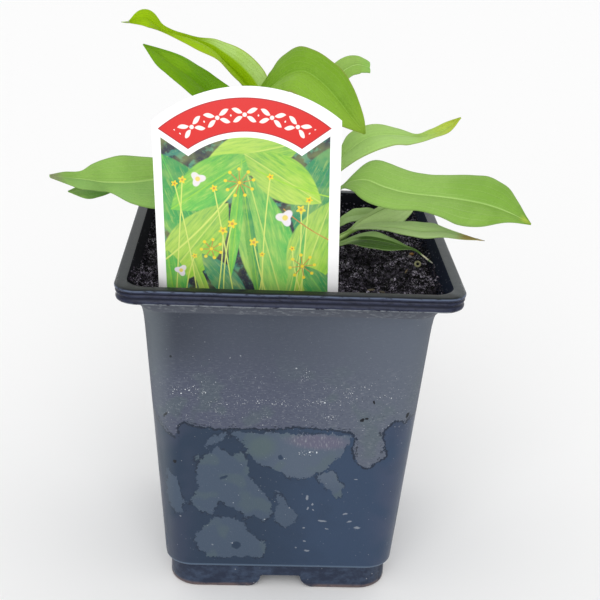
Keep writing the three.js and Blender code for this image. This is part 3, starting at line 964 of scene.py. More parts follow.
        # Painted highlight along the skirt's lower edge.
        lower_edge_highlight = shaken.band(look.skirt_bottom + 0.35, 0.1, 0.2) * wear_and_sheen.rise(0.35, 0.55)
        skirt = self.lay(
            look.skirt,
            (rib_highlights * wear_and_sheen.rise(0.3, 0.6) * 0.8, look.skirt_rib_highlight),
            (lower_edge_highlight * 0.8, look.rim_highlight),
            # Painted glints of a few water drops on the skirt.
            (self.dots(self.spot, 1.6, 0.16, 0.04), look.drop_glint),
        )
        flange = self.lay(
            look.flange,
            # Painted reflection: the flange grows lighter to the right, as if mirroring the bright sky.
            (self.x.rise(0, 40), look.flange_right_reflection),
            (wear_and_sheen.rise(0.4, 0.7) * 0.3, look.skirt),
            # Painted shade: the flange's front strip is darkened, as if shaded by the card behind it and
            # mirroring it.
            (((self.y + self.x.size()) * -1).rise(-1, 2), look.flange_front_shade),
        )
        # Painted highlight along the rim's upper outer edge.
        upper_edge_highlight = (shaken - look.rim_edge).size().fall(0.1, 0.3) * wear_and_sheen.rise(0.3, 0.5)
        # Painted light: the shoulder is lighter than the wall, to make up for the shade under the rim, with
        # painted highlight streaks.
        shoulder = self.mix(wear_and_sheen.rise(0.5, 0.7) * 0.5, look.shoulder, look.rim_highlight)
        return self.lay(
            under,
            (self.z.rise(look.shoulder_bottom, look.shoulder_bottom + 0.2), shoulder),
            (self.z.rise(look.skirt_bottom - 0.15, look.skirt_bottom + 0.05), skirt),
            (self.z.rise(look.rim_top - 0.2, look.rim_top), flange),
            (upper_edge_highlight * 0.7, look.flange_edge_highlight),
        )


@dataclass
class Pot:
    """The square pot: a thin wall with a turned-down rim, and a foot cut through by two channels.

    A row of the profile is a half width, a corner radius, a height and how far its bend is rounded.
    """

    profile: tuple = (
        (29.7, 7.0, 0.0, 0.0),
        (32.1, 8.5, 0.0, 0.8),
        (32.1, 8.5, 7.9, 0.25),
        (33.5, 8.0, 8.1, 0.9),
        (39.2, 8.0, 90.0, 6.0),
        (40.7, 7.5, 92.5, 1.2),
        (42.1, 7.0, 97.6, 0.8),
        (42.3, 6.8, 98.8, 0.4),
        (44.6, 5.2, 98.8, 0.4),
        (44.6, 5.2, 95.9, 0.2),
        (45.4, 6.0, 95.7, 0.35),
        (45.6, 6.0, 96.5, 0.3),
        (45.2, 6.0, 97.4, 0.5),
        (45.7, 6.0, 98.1, 0.3),
        (45.3, 6.0, 98.6, 0.3),
        (45.8, 6.0, 99.0, 0.3),
        (45.8, 6.0, 100.0, 1.0),
        (42.7, 5.5, 100.0, 0.7),
        (41.6, 5.3, 98.4, 0.9),
        (41.1, 5.5, 97.4, 1.5),
        (39.7, 6.0, 92.5, 1.5),
        (38.2, 6.5, 90.0, 6.0),
        (32.5, 6.5, 9.4, 4.0),
        (30.1, 6.5, 5.6, 0.0),
    )
    sharp: float = 35.0
    fillet_share: float = 0.45
    fillet_steps: int = 4
    corner_steps: int = 14
    side_steps: int = 52
    wall_step: float = 1.3
    channel_middle: float = 0.6
    channel_half: float = 5.9
    channel_height: float = 4.2
    channel_flare: float = 5.2
    flare_height: float = 3.9
    flare_steps: int = 10
    channel_reach: float = 60.0
    drain_radius: float = 3.0
    drain_spacing: float = 20.0
    drain_steps: int = 24
    floor_top: float = 5.6
    lining_bottom: float = 89.5
    lining_slope: float = 0.35
    marks: WaterMarks = field(default_factory=WaterMarks)
    finish: PotFinish = field(default_factory=PotFinish)

    def rings(self) -> list[np.ndarray]:
        """Round the profile's bends.

        Returns:
            Half width, corner radius and height of each ring, from the foot to the floor inside.
        """
        made = []
        profile = [np.array(ring) for ring in self.profile]
        for i, ring in enumerate(profile):
            radius = ring[3]
            if radius == 0:
                made.append(ring[:3])
                continue
            back = profile[i - 1] - ring
            ahead = profile[i + 1] - ring
            back_length = np.linalg.norm(back[[0, 2]])
            ahead_length = np.linalg.norm(ahead[[0, 2]])
            start = ring + back * min(radius, self.fillet_share * back_length) / back_length
            end = ring + ahead * min(radius, self.fillet_share * ahead_length) / ahead_length
            for step in range(self.fillet_steps + 1):
                t = step / self.fillet_steps
                point = start * (1 - t) ** 2 + 2 * ring * t * (1 - t) + end * t * t
                made.append(point[:3])
        return self.divide(made)

    def divide(self, rings: list[np.ndarray]) -> list[np.ndarray]:
        """Put more rings up the outer wall, which carries the water marks.

        Args:
            rings: The rings.

        Returns:
            The rings with the new ones between them.
        """
        made = []
        for low, high in zip(rings, rings[1:]):
            parts = max(1, math.ceil((high[2] - low[2]) / self.wall_step))
            made += [low + (high - low) * part / parts for part in range(parts)]
        return made + [rings[-1]]

    def build(self) -> Piece:
        """Make the pot, cut its channels and drain holes, and paint it.

        Returns:
            The finished pot.
        """
        rings = []
        for half, corner, z in self.rings():
            flat = round_square(half, corner, self.side_steps, self.corner_steps)
            rings.append([(x, y, z) for x, y in flat])
        around = len(rings[0])
        pot = add_mesh("pot_shell", np.vstack(rings), tube_faces(len(rings), around), self.sharp)
        for turned in (False, True):
            subtract(pot, prism("channel", self.channel_outline(), self.channel_reach, turned))
        subtract(pot, self.drains())
        smooth(pot.data, self.sharp)
        self.marks.write(pot)
        dress(pot, "pot_plastic", PotShader(self.finish, self.marks).build(), "pot")
        pot.data.materials.append(self.finish.lining_material())
        for face in pot.data.polygons:
            outward = face.normal.x * face.center.x + face.normal.y * face.center.y
            faces_in = outward < -self.lining_slope * face.center.xy.length
            if faces_in and face.center.z > self.lining_bottom * METRES:
                face.material_index = 1
        return pot

    def channel_outline(self) -> Outline:
        """Draw the channel's section: a flat ceiling, round upper corners and feet that flare out.

        Returns:
            Its corners in X and Z, counterclockwise from the front.
        """
        wide = self.channel_half + self.channel_flare
        right = [(wide + 0.6, -2.0), (wide + 0.5, -0.2)]
        for step in range(self.flare_steps + 1):
            angle = math.radians(90 * step / self.flare_steps)
            x = wide - self.channel_flare * math.sin(angle)
            right.append((x, self.flare_height * (1 - math.cos(angle))))
        right.append((self.channel_half - 0.5, self.channel_height))
        outline = right + [(-x, z) for x, z in reversed(right)]
        return [(x + self.channel_middle, z) for x, z in outline]

    def drains(self) -> Piece:
        """Make the cutter for all the drain holes.

        Returns:
            The cutter, one closed cylinder for each hole.
        """
        angles = [2 * math.pi * i / self.drain_steps for i in range(self.drain_steps)]
        circle = [(self.drain_radius * math.cos(a), self.drain_radius * math.sin(a)) for a in angles]
        vertices = []
        faces = []
        for step_x, step_y in ((0, 0), (1, 0), (0, 1), (-1, 0), (0, -1)):
            x, y = step_x * self.drain_spacing, step_y * self.drain_spacing
            faces += tube_faces(2, self.drain_steps, len(vertices))
            for z in (1.0, self.floor_top + 3):
                vertices += [(x + across, y + along, z) for across, along in circle]
        return add_mesh("drains", vertices, faces)


# Soil


@dataclass(frozen=True)
class SoilFinish:
    """Dark damp peat, with painted highlights where single crumbs catch the light."""

    dark: Colour = srgb(3, 3, 4)
    middle: Colour = srgb(44, 40, 50)
    # The colour of the painted highlights on the soil and its crumbs.
    pale: Colour = srgb(206, 198, 216)
    bit_dark: Colour = srgb(24, 20, 18)
    shade_name: str = "shade"
    tint_name: str = "tint"

    def material(self, name: str) -> Material:
        """Make the soil's material, which reads how pale each crumb is from the mesh.

        Args:
            name: The material's name.

        Returns:
            The material.
        """
        tree = ShaderTree(name)
        place = tree.place()
        coarse = tree.grain(place, 2.4, 3, 0.6)
        fine = tree.grain(place, 0.34, 3, 0.7)
        shade = tree.carried(self.shade_name)
        lumps = tree.grain(place, 1.1, 2, 0.5).rise(0.42, 0.6)
        colour = tree.mix(lumps * coarse.rise(0.4, 0.65).most(shade), self.dark, self.middle)
        drift = tree.grain(place, 8, 2).rise(0.38, 0.62) * 0.8 + 0.2
        # Painted highlights: pale specks on the soil and pale crumbs stand in for the light that damp crumbs
        # catch.
        fleck_highlights = (fine + coarse * 0.4).rise(0.76, 0.88) * drift * 0.85
        lit = shade.rise(0.8, 1.0) * fine.rise(0.4, 0.6) * drift * 0.8
        return tree.finish(
            Base_Color=tree.mix(lit.most(fleck_highlights), colour, self.pale),
            Roughness=0.7 + fine * 0.2,
            Specular_IOR_Level=0.06,
            Normal=tree.bump(fine * 0.6 + coarse, 0.5),
        )

    def bit_material(self) -> Material:
        """Make the material of the larger bits, which carry their own colours.

        Returns:
            The material.
        """
        tree = ShaderTree("soil_bits")
        tint = tree.carried(self.tint_name, "Color").socket
        fine = tree.grain(tree.place(), 0.4, 3, 0.6)
        return tree.finish(
            Base_Color=tree.mix(fine.fall(0.35, 0.6) * 0.45, tint, self.bit_dark),
            Roughness=0.6 + fine * 0.2,
            Specular_IOR_Level=0.25,
            Normal=tree.bump(fine, 0.2),
        )


class Crumb(Enum):
    """The kinds of crumb, by the shade of the darkest of each."""

    PEAT = 0.0
    GRIT = 0.7


@dataclass(frozen=True)
class Bit:
    """A larger bit on the soil: its middle, half sizes, turn, colour, share that is a hole, and lean."""

    x: float
    y: float
    reach: tuple[float, float, float]
    turn: float
    colour: Colour
    hole: float = 0.0
    lean: float = 0.0


@dataclass
class SoilBits:
    """The prill, chips and fibres that lie on the compost."""

    lift: float = 0.1
    smallest_hole: float = 0.02
    steps: int = 20
    ring_steps: int = 10
    bits: tuple[Bit, ...] = (
        Bit(37.0, -9.2, (1.05, 1.0, 0.28), 0, srgb(150, 148, 112), 0.42, lean=48),
        Bit(36.4, 0.4, (0.8, 0.5, 0.35), 25, srgb(150, 112, 62)),
        Bit(35.6, -1.6, (0.6, 0.5, 0.4), -40, srgb(140, 134, 134)),
        Bit(20.5, 6.4, (0.4, 0.4, 0.35), 0, srgb(200, 176, 180)),
        Bit(22.0, -28.4, (1.2, 0.4, 0.25), 20, srgb(92, 84, 66)),
        Bit(25.0, -29.4, (1.0, 0.35, 0.25), -35, srgb(84, 78, 66)),
        Bit(18.4, -30.5, (0.8, 0.35, 0.25), 60, srgb(80, 74, 60)),
        Bit(33.2, -14.0, (1.6, 0.22, 0.2), 70, srgb(110, 92, 70)),
        Bit(12.5, -22.5, (1.9, 0.2, 0.2), -15, srgb(96, 84, 72)),
        Bit(28.5, -20.4, (0.4, 0.35, 0.3), 10, srgb(110, 108, 112)),
        Bit(-30.5, 12.0, (1.4, 0.24, 0.2), 50, srgb(104, 90, 70)),
        Bit(-24.0, 26.0, (0.8, 0.6, 0.45), 15, srgb(150, 140, 120)),
        Bit(14.0, 29.0, (1.7, 0.24, 0.2), -30, srgb(110, 96, 72)),
        Bit(-8.0, 20.0, (0.9, 0.5, 0.4), 80, srgb(130, 112, 80)),
        Bit(30.0, 22.0, (0.7, 0.7, 0.5), 0, srgb(146, 144, 108), 0.35),
    )

    def build(self, soil: "Soil") -> Piece:
        """Lay the bits on the soil.

        Args:
            soil: The soil, for its height.

        Returns:
            All the bits as one piece.
        """
        vertices = []
        faces = []
        tints = []
        for bit in self.bits:
            start = len(vertices)
            turn = math.radians(bit.turn)
            rise = bit.reach[1] * math.sin(math.radians(bit.lean)) * 0.8
            height = soil.height(bit.x, bit.y) + bit.reach[2] + self.lift + rise
            for x, y, z in self.shape(bit):
                x, y = x * math.cos(turn) - y * math.sin(turn), x * math.sin(turn) + y * math.cos(turn)
                vertices.append((bit.x + x, bit.y + y, height + z))
                tints.append(bit.colour)
            for i in range(self.steps):
                here = start + i * self.ring_steps
                ahead = start + (i + 1) % self.steps * self.ring_steps
                for k in range(self.ring_steps):
                    after = (k + 1) % self.ring_steps
                    faces.append((here + k, ahead + k, ahead + after, here + after))
        piece = add_mesh("soil_bits", vertices, faces, sharp=60)
        layer = piece.data.attributes.new(soil.finish.tint_name, "FLOAT_COLOR", "POINT")
        layer.data.foreach_set("color", np.array(tints, np.float32).ravel())
        return dress(piece, "soil", soil.finish.bit_material())

    def shape(self, bit: Bit) -> Points:
        """Shape a leaning ring that closes to a pebble when its hole is none.

        Args:
            bit: The bit.

        Returns:
            Its points about its middle, before its turn.
        """
        hole = max(bit.hole, self.smallest_hole)
        middle, thick = (1 + hole) / 2, (1 - hole) / 2
        c, s = math.cos(math.radians(bit.lean)), math.sin(math.radians(bit.lean))
        points = []
        for i in range(self.steps):
            a = math.tau * i / self.steps
            for k in range(self.ring_steps):
                b = math.tau * k / self.ring_steps
                out = middle + thick * math.cos(b)
                y, z = bit.reach[1] * out * math.sin(a), bit.reach[2] * math.sin(b)
                points.append((bit.reach[0] * out * math.cos(a), y * c - z * s, y * s + z * c))
        return points


@dataclass
class Soil:
    """The compost: a lumpy surface in the pot with loose crumbs over it.

    A row of sides or band is a half width, a corner radius and a height.
    """

    level: float = 94.4
    mound: float = 0.6
    mound_radius: float = 22.0
    lump: float = 0.45
    crown_x: float = 5.0
    crown_y: float = 0.0
    sides: tuple = ((29.7, 6.5, 5.9), (32.1, 6.5, 9.7), (37.9, 6.5, 90.0), (38.6, 6.5, 92.6))
    edge_half: float = 40.0
    edge_corner: float = 5.9
    band: tuple = ((40.0, 6.0, 94.0), (40.6, 5.7, 96.2), (41.0, 5.5, 97.2))
    spill: tuple = ((-42.6, -40.0), (-37.0, -42.0), (-34.0, -41.5), (-38.0, -33.0), (-41.5, -29.0))
    spill_height: float = 100.15
    corner_steps: int = 12
    side_steps: int = 44
    rings_across: int = 90
    roughness: float = 0.55
    rough_scale: float = 0.55
    finish: SoilFinish = field(default_factory=SoilFinish)

    def height(self, x: float, y: float) -> float:
        """Read the height of the soil without its crumbs.

        Args:
            x: The point's X.
            y: The point's Y.

        Returns:
            The height.
        """
        away = math.hypot(x - self.crown_x, y - self.crown_y) / self.mound_radius
        waves = math.sin(0.31 * x + 0.9) * math.cos(0.27 * y - 0.4)
        waves += 0.6 * math.sin(0.52 * x - 0.43 * y + 2.1)
        return self.level + self.mound * math.exp(-away * away) + self.lump * waves

    def ring(self, half: float, corner: float, z: float) -> Points:
        """Return one ring: a square with round corners at one height."""
        return [(x, y, z) for x, y in round_square(half, corner, self.side_steps, self.corner_steps)]

    def build(self) -> list[Piece]:
        """Make the soil's bed and all that lies on it.

        Returns:
            The bed, the crumbs, the grit, the spilled crumbs, those on the pot's wall and the larger bits.
        """
        bed = self.bed()
        top, edge, wall = self.surface_copy(bed), self.spill_patch(), self.wall_band()
        scattered = (
            (CrumbTree("soil_crumbs", Crumb.PEAT, 1.28e6, (0.15, 0.55), 3), top),
            (CrumbTree("soil_grit", Crumb.GRIT, 0.5e6, (0.1, 0.26), 11), top),
            (CrumbTree("soil_spill", Crumb.PEAT, 3.0e6, (0.12, 0.42), 5), edge),
            (CrumbTree("soil_dust", Crumb.PEAT, 2.2e6, (0.1, 0.3), 7), wall),
        )
        pieces = [tree.scatter(sheet, self.finish) for tree, sheet in scattered]
        for sheet in (top, edge, wall):
            bpy.data.objects.remove(sheet)
        return [bed, *pieces, SoilBits().build(self)]

    def bed(self) -> Piece:
        """Make the solid soil with its lumpy surface.

        Returns:
            The bed.
        """
        rings = [self.ring(*side) for side in self.sides]
        for step in range(self.rings_across):
            share = 1 - step / self.rings_across
            fade = min(1.0, 0.3 + step / 4)
            ring = []
            for x, y, _ in self.ring(self.edge_half * share, self.edge_corner * share, 0.0):
                rough = noise.fractal(Vector((x, y, 0.0)) * self.rough_scale, 0.9, 2.1, 5) * self.roughness
                ring.append((x, y, self.height(x, y) + rough * fade))
            rings.append(ring)
        bed = add_mesh("soil_bed", np.vstack(rings), tube_faces(len(rings), len(rings[0])), sharp=80)
        return dress(bed, "soil", self.finish.material("soil_bed"), "soil")

    def wall_band(self) -> Piece:
        """Return a sheet up the pot's inner wall above the soil, where crumbs have stuck."""
        rings = [self.ring(*ring) for ring in self.band]
        return add_mesh("wall_band", np.vstack(rings), ring_faces(len(rings), len(rings[0])))

    def surface_copy(self, bed: Piece) -> Piece:
        """Copy the soil's top faces, for the crumbs to lie on.

        Args:
            bed: The soil.

        Returns:
            The copy, an open sheet.
        """
        top = self.level - 2
        vertices = [vertex.co / METRES for vertex in bed.data.vertices]
        faces = [list(f.vertices) for f in bed.data.polygons if all(vertices[v].z > top for v in f.vertices)]
        return add_mesh("soil_top", np.array(vertices), faces)

    def spill_patch(self) -> Piece:
        """Return a sheet over the front left corner of the rim, where soil has been spilled."""
        vertices = [(x, y, self.spill_height) for x, y in self.spill]
        return add_mesh("spill_patch", vertices, [tuple(range(len(vertices)))])


@dataclass
class CrumbTree:
    """Scatters small lumps over a sheet with Geometry Nodes and keeps them as one plain mesh.

    The density is how many lie on a square metre, and size has the ends of their radius in millimetres.
    """

    name: str
    kind: Crumb
    density: float
    size: tuple[float, float]
    seed: int
    flattest: tuple[float, float, float] = (0.5, 0.5, 0.5)
    fullest: tuple[float, float, float] = (1.3, 1.3, 1.3)

    def tree(self, material: Material, shade_name: str) -> tuple[bpy.types.NodeTree, dict[str, str]]:
        """Build the node tree.

        Args:
            material: What the crumbs are made of.
            shade_name: The attribute in which each crumb carries how pale it is.

        Returns:
            The tree, and the identifier of each named input.
        """
        tree = bpy.data.node_groups.new(self.name, "GeometryNodeTree")
        kinds = {"Sheet": "NodeSocketGeometry", "Density": "NodeSocketFloat", "Smallest": "NodeSocketFloat",
                 "Largest": "NodeSocketFloat", "Darkest": "NodeSocketFloat", "Seed": "NodeSocketInt"}
        sockets = {}
        for name, kind in kinds.items():
            sockets[name] = tree.interface.new_socket(name=name, in_out="INPUT", socket_type=kind).identifier
        tree.interface.new_socket(name="Crumbs", in_out="OUTPUT", socket_type="NodeSocketGeometry")
        given = tree.nodes.new("NodeGroupInput").outputs
        seed = {"Seed": given["Seed"]}

        def chance(kind: str, output: int, ends: dict) -> Socket:
            """Return a random value between two ends."""
            node = add_node(tree, "FunctionNodeRandomValue", {"data_type": kind}, ends | seed)
            return node.outputs[output]

        points = add_node(tree, "GeometryNodeDistributePointsOnFaces", None, {
            "Mesh": given["Sheet"], "Density": given["Density"], **seed})
        ball = add_node(tree, "GeometryNodeMeshIcoSphere", None, {"Radius": METRES, "Subdivisions": 1})
        turn = chance("FLOAT_VECTOR", 0, {1: (math.tau,) * 3})
        stretch = chance("FLOAT_VECTOR", 0, {0: self.flattest, 1: self.fullest})
        grow = chance("FLOAT", 1, {2: given["Smallest"], 3: given["Largest"]})
        size = add_node(tree, "ShaderNodeVectorMath", {"operation": "SCALE"}, {0: stretch, "Scale": grow})
        crumbs = add_node(tree, "GeometryNodeInstanceOnPoints", None, {
            "Points": points.outputs["Points"], "Instance": ball.outputs["Mesh"], "Rotation": turn,
            "Scale": size.outputs[0]})
        shade = chance("FLOAT", 1, {2: given["Darkest"], 3: 1.0})
        settings = {"data_type": "FLOAT", "domain": "INSTANCE"}
        shaded = add_node(tree, "GeometryNodeStoreNamedAttribute", settings, {
            "Geometry": crumbs.outputs[0], "Name": shade_name, "Value": shade})
        real = add_node(tree, "GeometryNodeRealizeInstances", None, {0: shaded.outputs[0]})
        painted = add_node(tree, "GeometryNodeSetMaterial", None, {
            "Geometry": real.outputs[0], "Material": material})
        add_node(tree, "NodeGroupOutput", None, {0: painted.outputs[0]})
        return tree, sockets

    def scatter(self, sheet: Piece, finish: SoilFinish) -> Piece:
        """Lay the crumbs on a sheet.

        Args:
            sheet: The sheet, which itself isn't kept in them.
            finish: The soil's finish.

        Returns:
            The crumbs as one piece.
        """
        material = finish.material(self.name)
        tree, sockets = self.tree(material, finish.shade_name)
        piece = bpy.data.objects.new(self.name, sheet.data.copy())
        bpy.context.scene.collection.objects.link(piece)
        modifier = piece.modifiers.new(self.name, "NODES")
        modifier.node_group = tree
        values = {"Density": self.density, "Smallest": self.size[0], "Largest": self.size[1],
                  "Darkest": self.kind.value, "Seed": self.seed}
        for name, value in values.items():
            modifier[sockets[name]] = value
        bake_modifiers(piece)
        return dress(piece, "soil", material)


# Card


@dataclass(frozen=True)
class PaintedLeaf:
    """A pointed leaf in the card's picture: middle, half length, half width, tilt and colours."""

    x: float
    z: float
    reach: float
    width: float
    tilt: float
    blade: Colour
    rib: Colour


@dataclass(frozen=True)
class PaintedStem:
    """A thin stem in the card's picture: its two ends, how far it bows out and its half width."""

    start: tuple[float, float]
    end: tuple[float, float]
    bow: float
    width: float
    colour: Colour


@dataclass(frozen=True)
class PaintedFlower:
    """A small flower in the card's picture: middle, radius, number of petals, colour and heart."""

    x: float
    z: float
    radius: float
    petals: int
    colour: Colour
    heart: Colour


@dataclass(frozen=True)
class PaintedUmbel:
    """A head of rays with a bead on each: middle, radius, number of rays and turn."""

    x: float
    z: float
    radius: float
    rays: int
    turn: float


class Side(Enum):
    """The material slots of the card."""

    PRINT = 0
    PLAIN = 1


@dataclass(frozen=True)
class CardFinish:
    """Glossy white card with a red arched band over a picture of pond plants."""

    white: Colour = srgb(250, 250, 250)
    red: Colour = srgb(208, 34, 30)
    red_edge: Colour = srgb(146, 40, 48)
    ornament: Colour = srgb(250, 232, 226)
    lime: Colour = srgb(150, 202, 62)
    green: Colour = srgb(100, 188, 84)
    deep: Colour = srgb(48, 138, 84)
    teal: Colour = srgb(66, 130, 112)
    slate: Colour = srgb(50, 54, 66)
    faded: Colour = srgb(226, 226, 220)
    straw: Colour = srgb(200, 216, 112)
    yellow: Colour = srgb(228, 202, 50)
    amber: Colour = srgb(184, 124, 66)
    lilac: Colour = srgb(226, 218, 230)
    arch_centre: float = 18.7
    band_inner: float = 24.55
    band_outer: float = 33.25
    band_middle: float = -0.5
    fan_centre: float = 28.5
    fan_angle: float = 54.1
    margin: float = 1.42
    picture_left: float = 21.4
    picture_right: float = 20.7
    picture_bottom: float = -7.0
    print_soft: float = 0.06
    ornament_step: float = 0.235
    ornament_size: float = 1.15
    stem_count: int = 13
    stem_left: float = -19.5
    stem_step: float = 3.3
    stem_bottom: float = -8.0

    def leaves(self) -> list[PaintedLeaf]:
        """Lay out the picture's leaves.

        Returns:
            The leaves from back to front.
        """
        return [
            PaintedLeaf(-16, 24, 15, 8.0, 112, self.deep, self.green),
            PaintedLeaf(18, 28, 14, 6.5, 66, self.deep, self.teal),
            PaintedLeaf(2, 38, 13, 6.2, 12, self.lime, self.straw),
            PaintedLeaf(-9, 30, 13, 6.4, 34, self.green, self.lime),
            PaintedLeaf(5, 12, 21, 7.6, 104, self.green, self.straw),
            PaintedLeaf(17, 12, 14, 7.0, 72, self.lime, self.straw),
            PaintedLeaf(-14, 13, 15, 7.0, 52, self.lime, self.straw),
            PaintedLeaf(9, 31, 12, 6.0, 146, self.lime, self.straw),
            PaintedLeaf(-20, 3, 9, 4.2, 96, self.green, self.lime),
            PaintedLeaf(-6, 3, 10, 3.6, 128, self.teal, self.deep),
            PaintedLeaf(19, 0, 9, 4.0, 124, self.deep, self.green),
            PaintedLeaf(-3, 20, 17, 1.7, 84, self.green, self.lime),
            PaintedLeaf(1, 12, 19, 1.5, 97, self.deep, self.lime),
            PaintedLeaf(12, 6, 14, 1.4, 78, self.green, self.straw),
            PaintedLeaf(-12, 2, 10, 1.3, 108, self.lime, self.straw),
        ]

    def stems(self) -> list[PaintedStem]:
        """Scatter the picture's thin stems by a rule, with three that lean in from the sides.

        Returns:
            The stems from back to front.
        """
        made = []
        for i in range(self.stem_count):
            x = self.stem_left + self.stem_step * i
            tip = (x + 5.5 * math.sin(2.1 * i + 0.6), 21 + 11 * math.sin(3.7 * i + 1.1))
            made.append(PaintedStem((x, self.stem_bottom), tip, 1.2 * math.sin(1.9 * i), 0.17, self.straw))
        made.append(PaintedStem((-21.5, 9.0), (-2.0, 30.0), -1.0, 0.22, self.straw))
        made.append(PaintedStem((21.5, 26.0), (2.0, 33.5), 0.8, 0.18, self.lime))
        made.append(PaintedStem((21.5, 14.0), (9.0, 23.0), 0.6, 0.15, self.amber))
        return made

    def flowers(self) -> list[PaintedFlower]:
        """Put a flower on each scattered stem, and a few larger pale ones between them.

        Returns:
            The flowers from back to front.
        """
        made = []
        for i, stem in enumerate(self.stems()[:self.stem_count]):
            made.append(PaintedFlower(*stem.end, 1.15 + 0.3 * math.sin(5 * i), 5, self.yellow, self.amber))
        for x, z, radius in ((9.5, 20.5, 2.7), (-12.5, 31.0, 2.3), (-17.5, 6.0, 1.9)):
            made.append(PaintedFlower(x, z, radius, 3, self.lilac, self.yellow))
        return made

    def umbels(self) -> list[PaintedUmbel]:
        """Lay out the picture's umbels.

        Returns:
            The umbels from back to front.
        """
        return [
            PaintedUmbel(-2.0, 30.0, 3.6, 9, 0.2),
            PaintedUmbel(14.0, 7.0, 3.2, 8, 0.9),
            PaintedUmbel(-9.5, 12.0, 2.6, 7, 0.5),
        ]

    def plain(self) -> Material:
        """Make the material of the card's back and edge.

        Returns:
            The material.
        """
        tree = ShaderTree("card_plain")
        place = tree.place()
        fine = tree.grain(place, 0.4, 2)
        return tree.finish(
            Base_Color=tree.mix(tree.grain(place, 9, 3).rise(0.5, 0.8) * 0.3, self.white, self.faded),
            Roughness=0.36 + fine * 0.12,
            Specular_IOR_Level=0.4,
            Normal=tree.bump(fine, 0.01),
        )


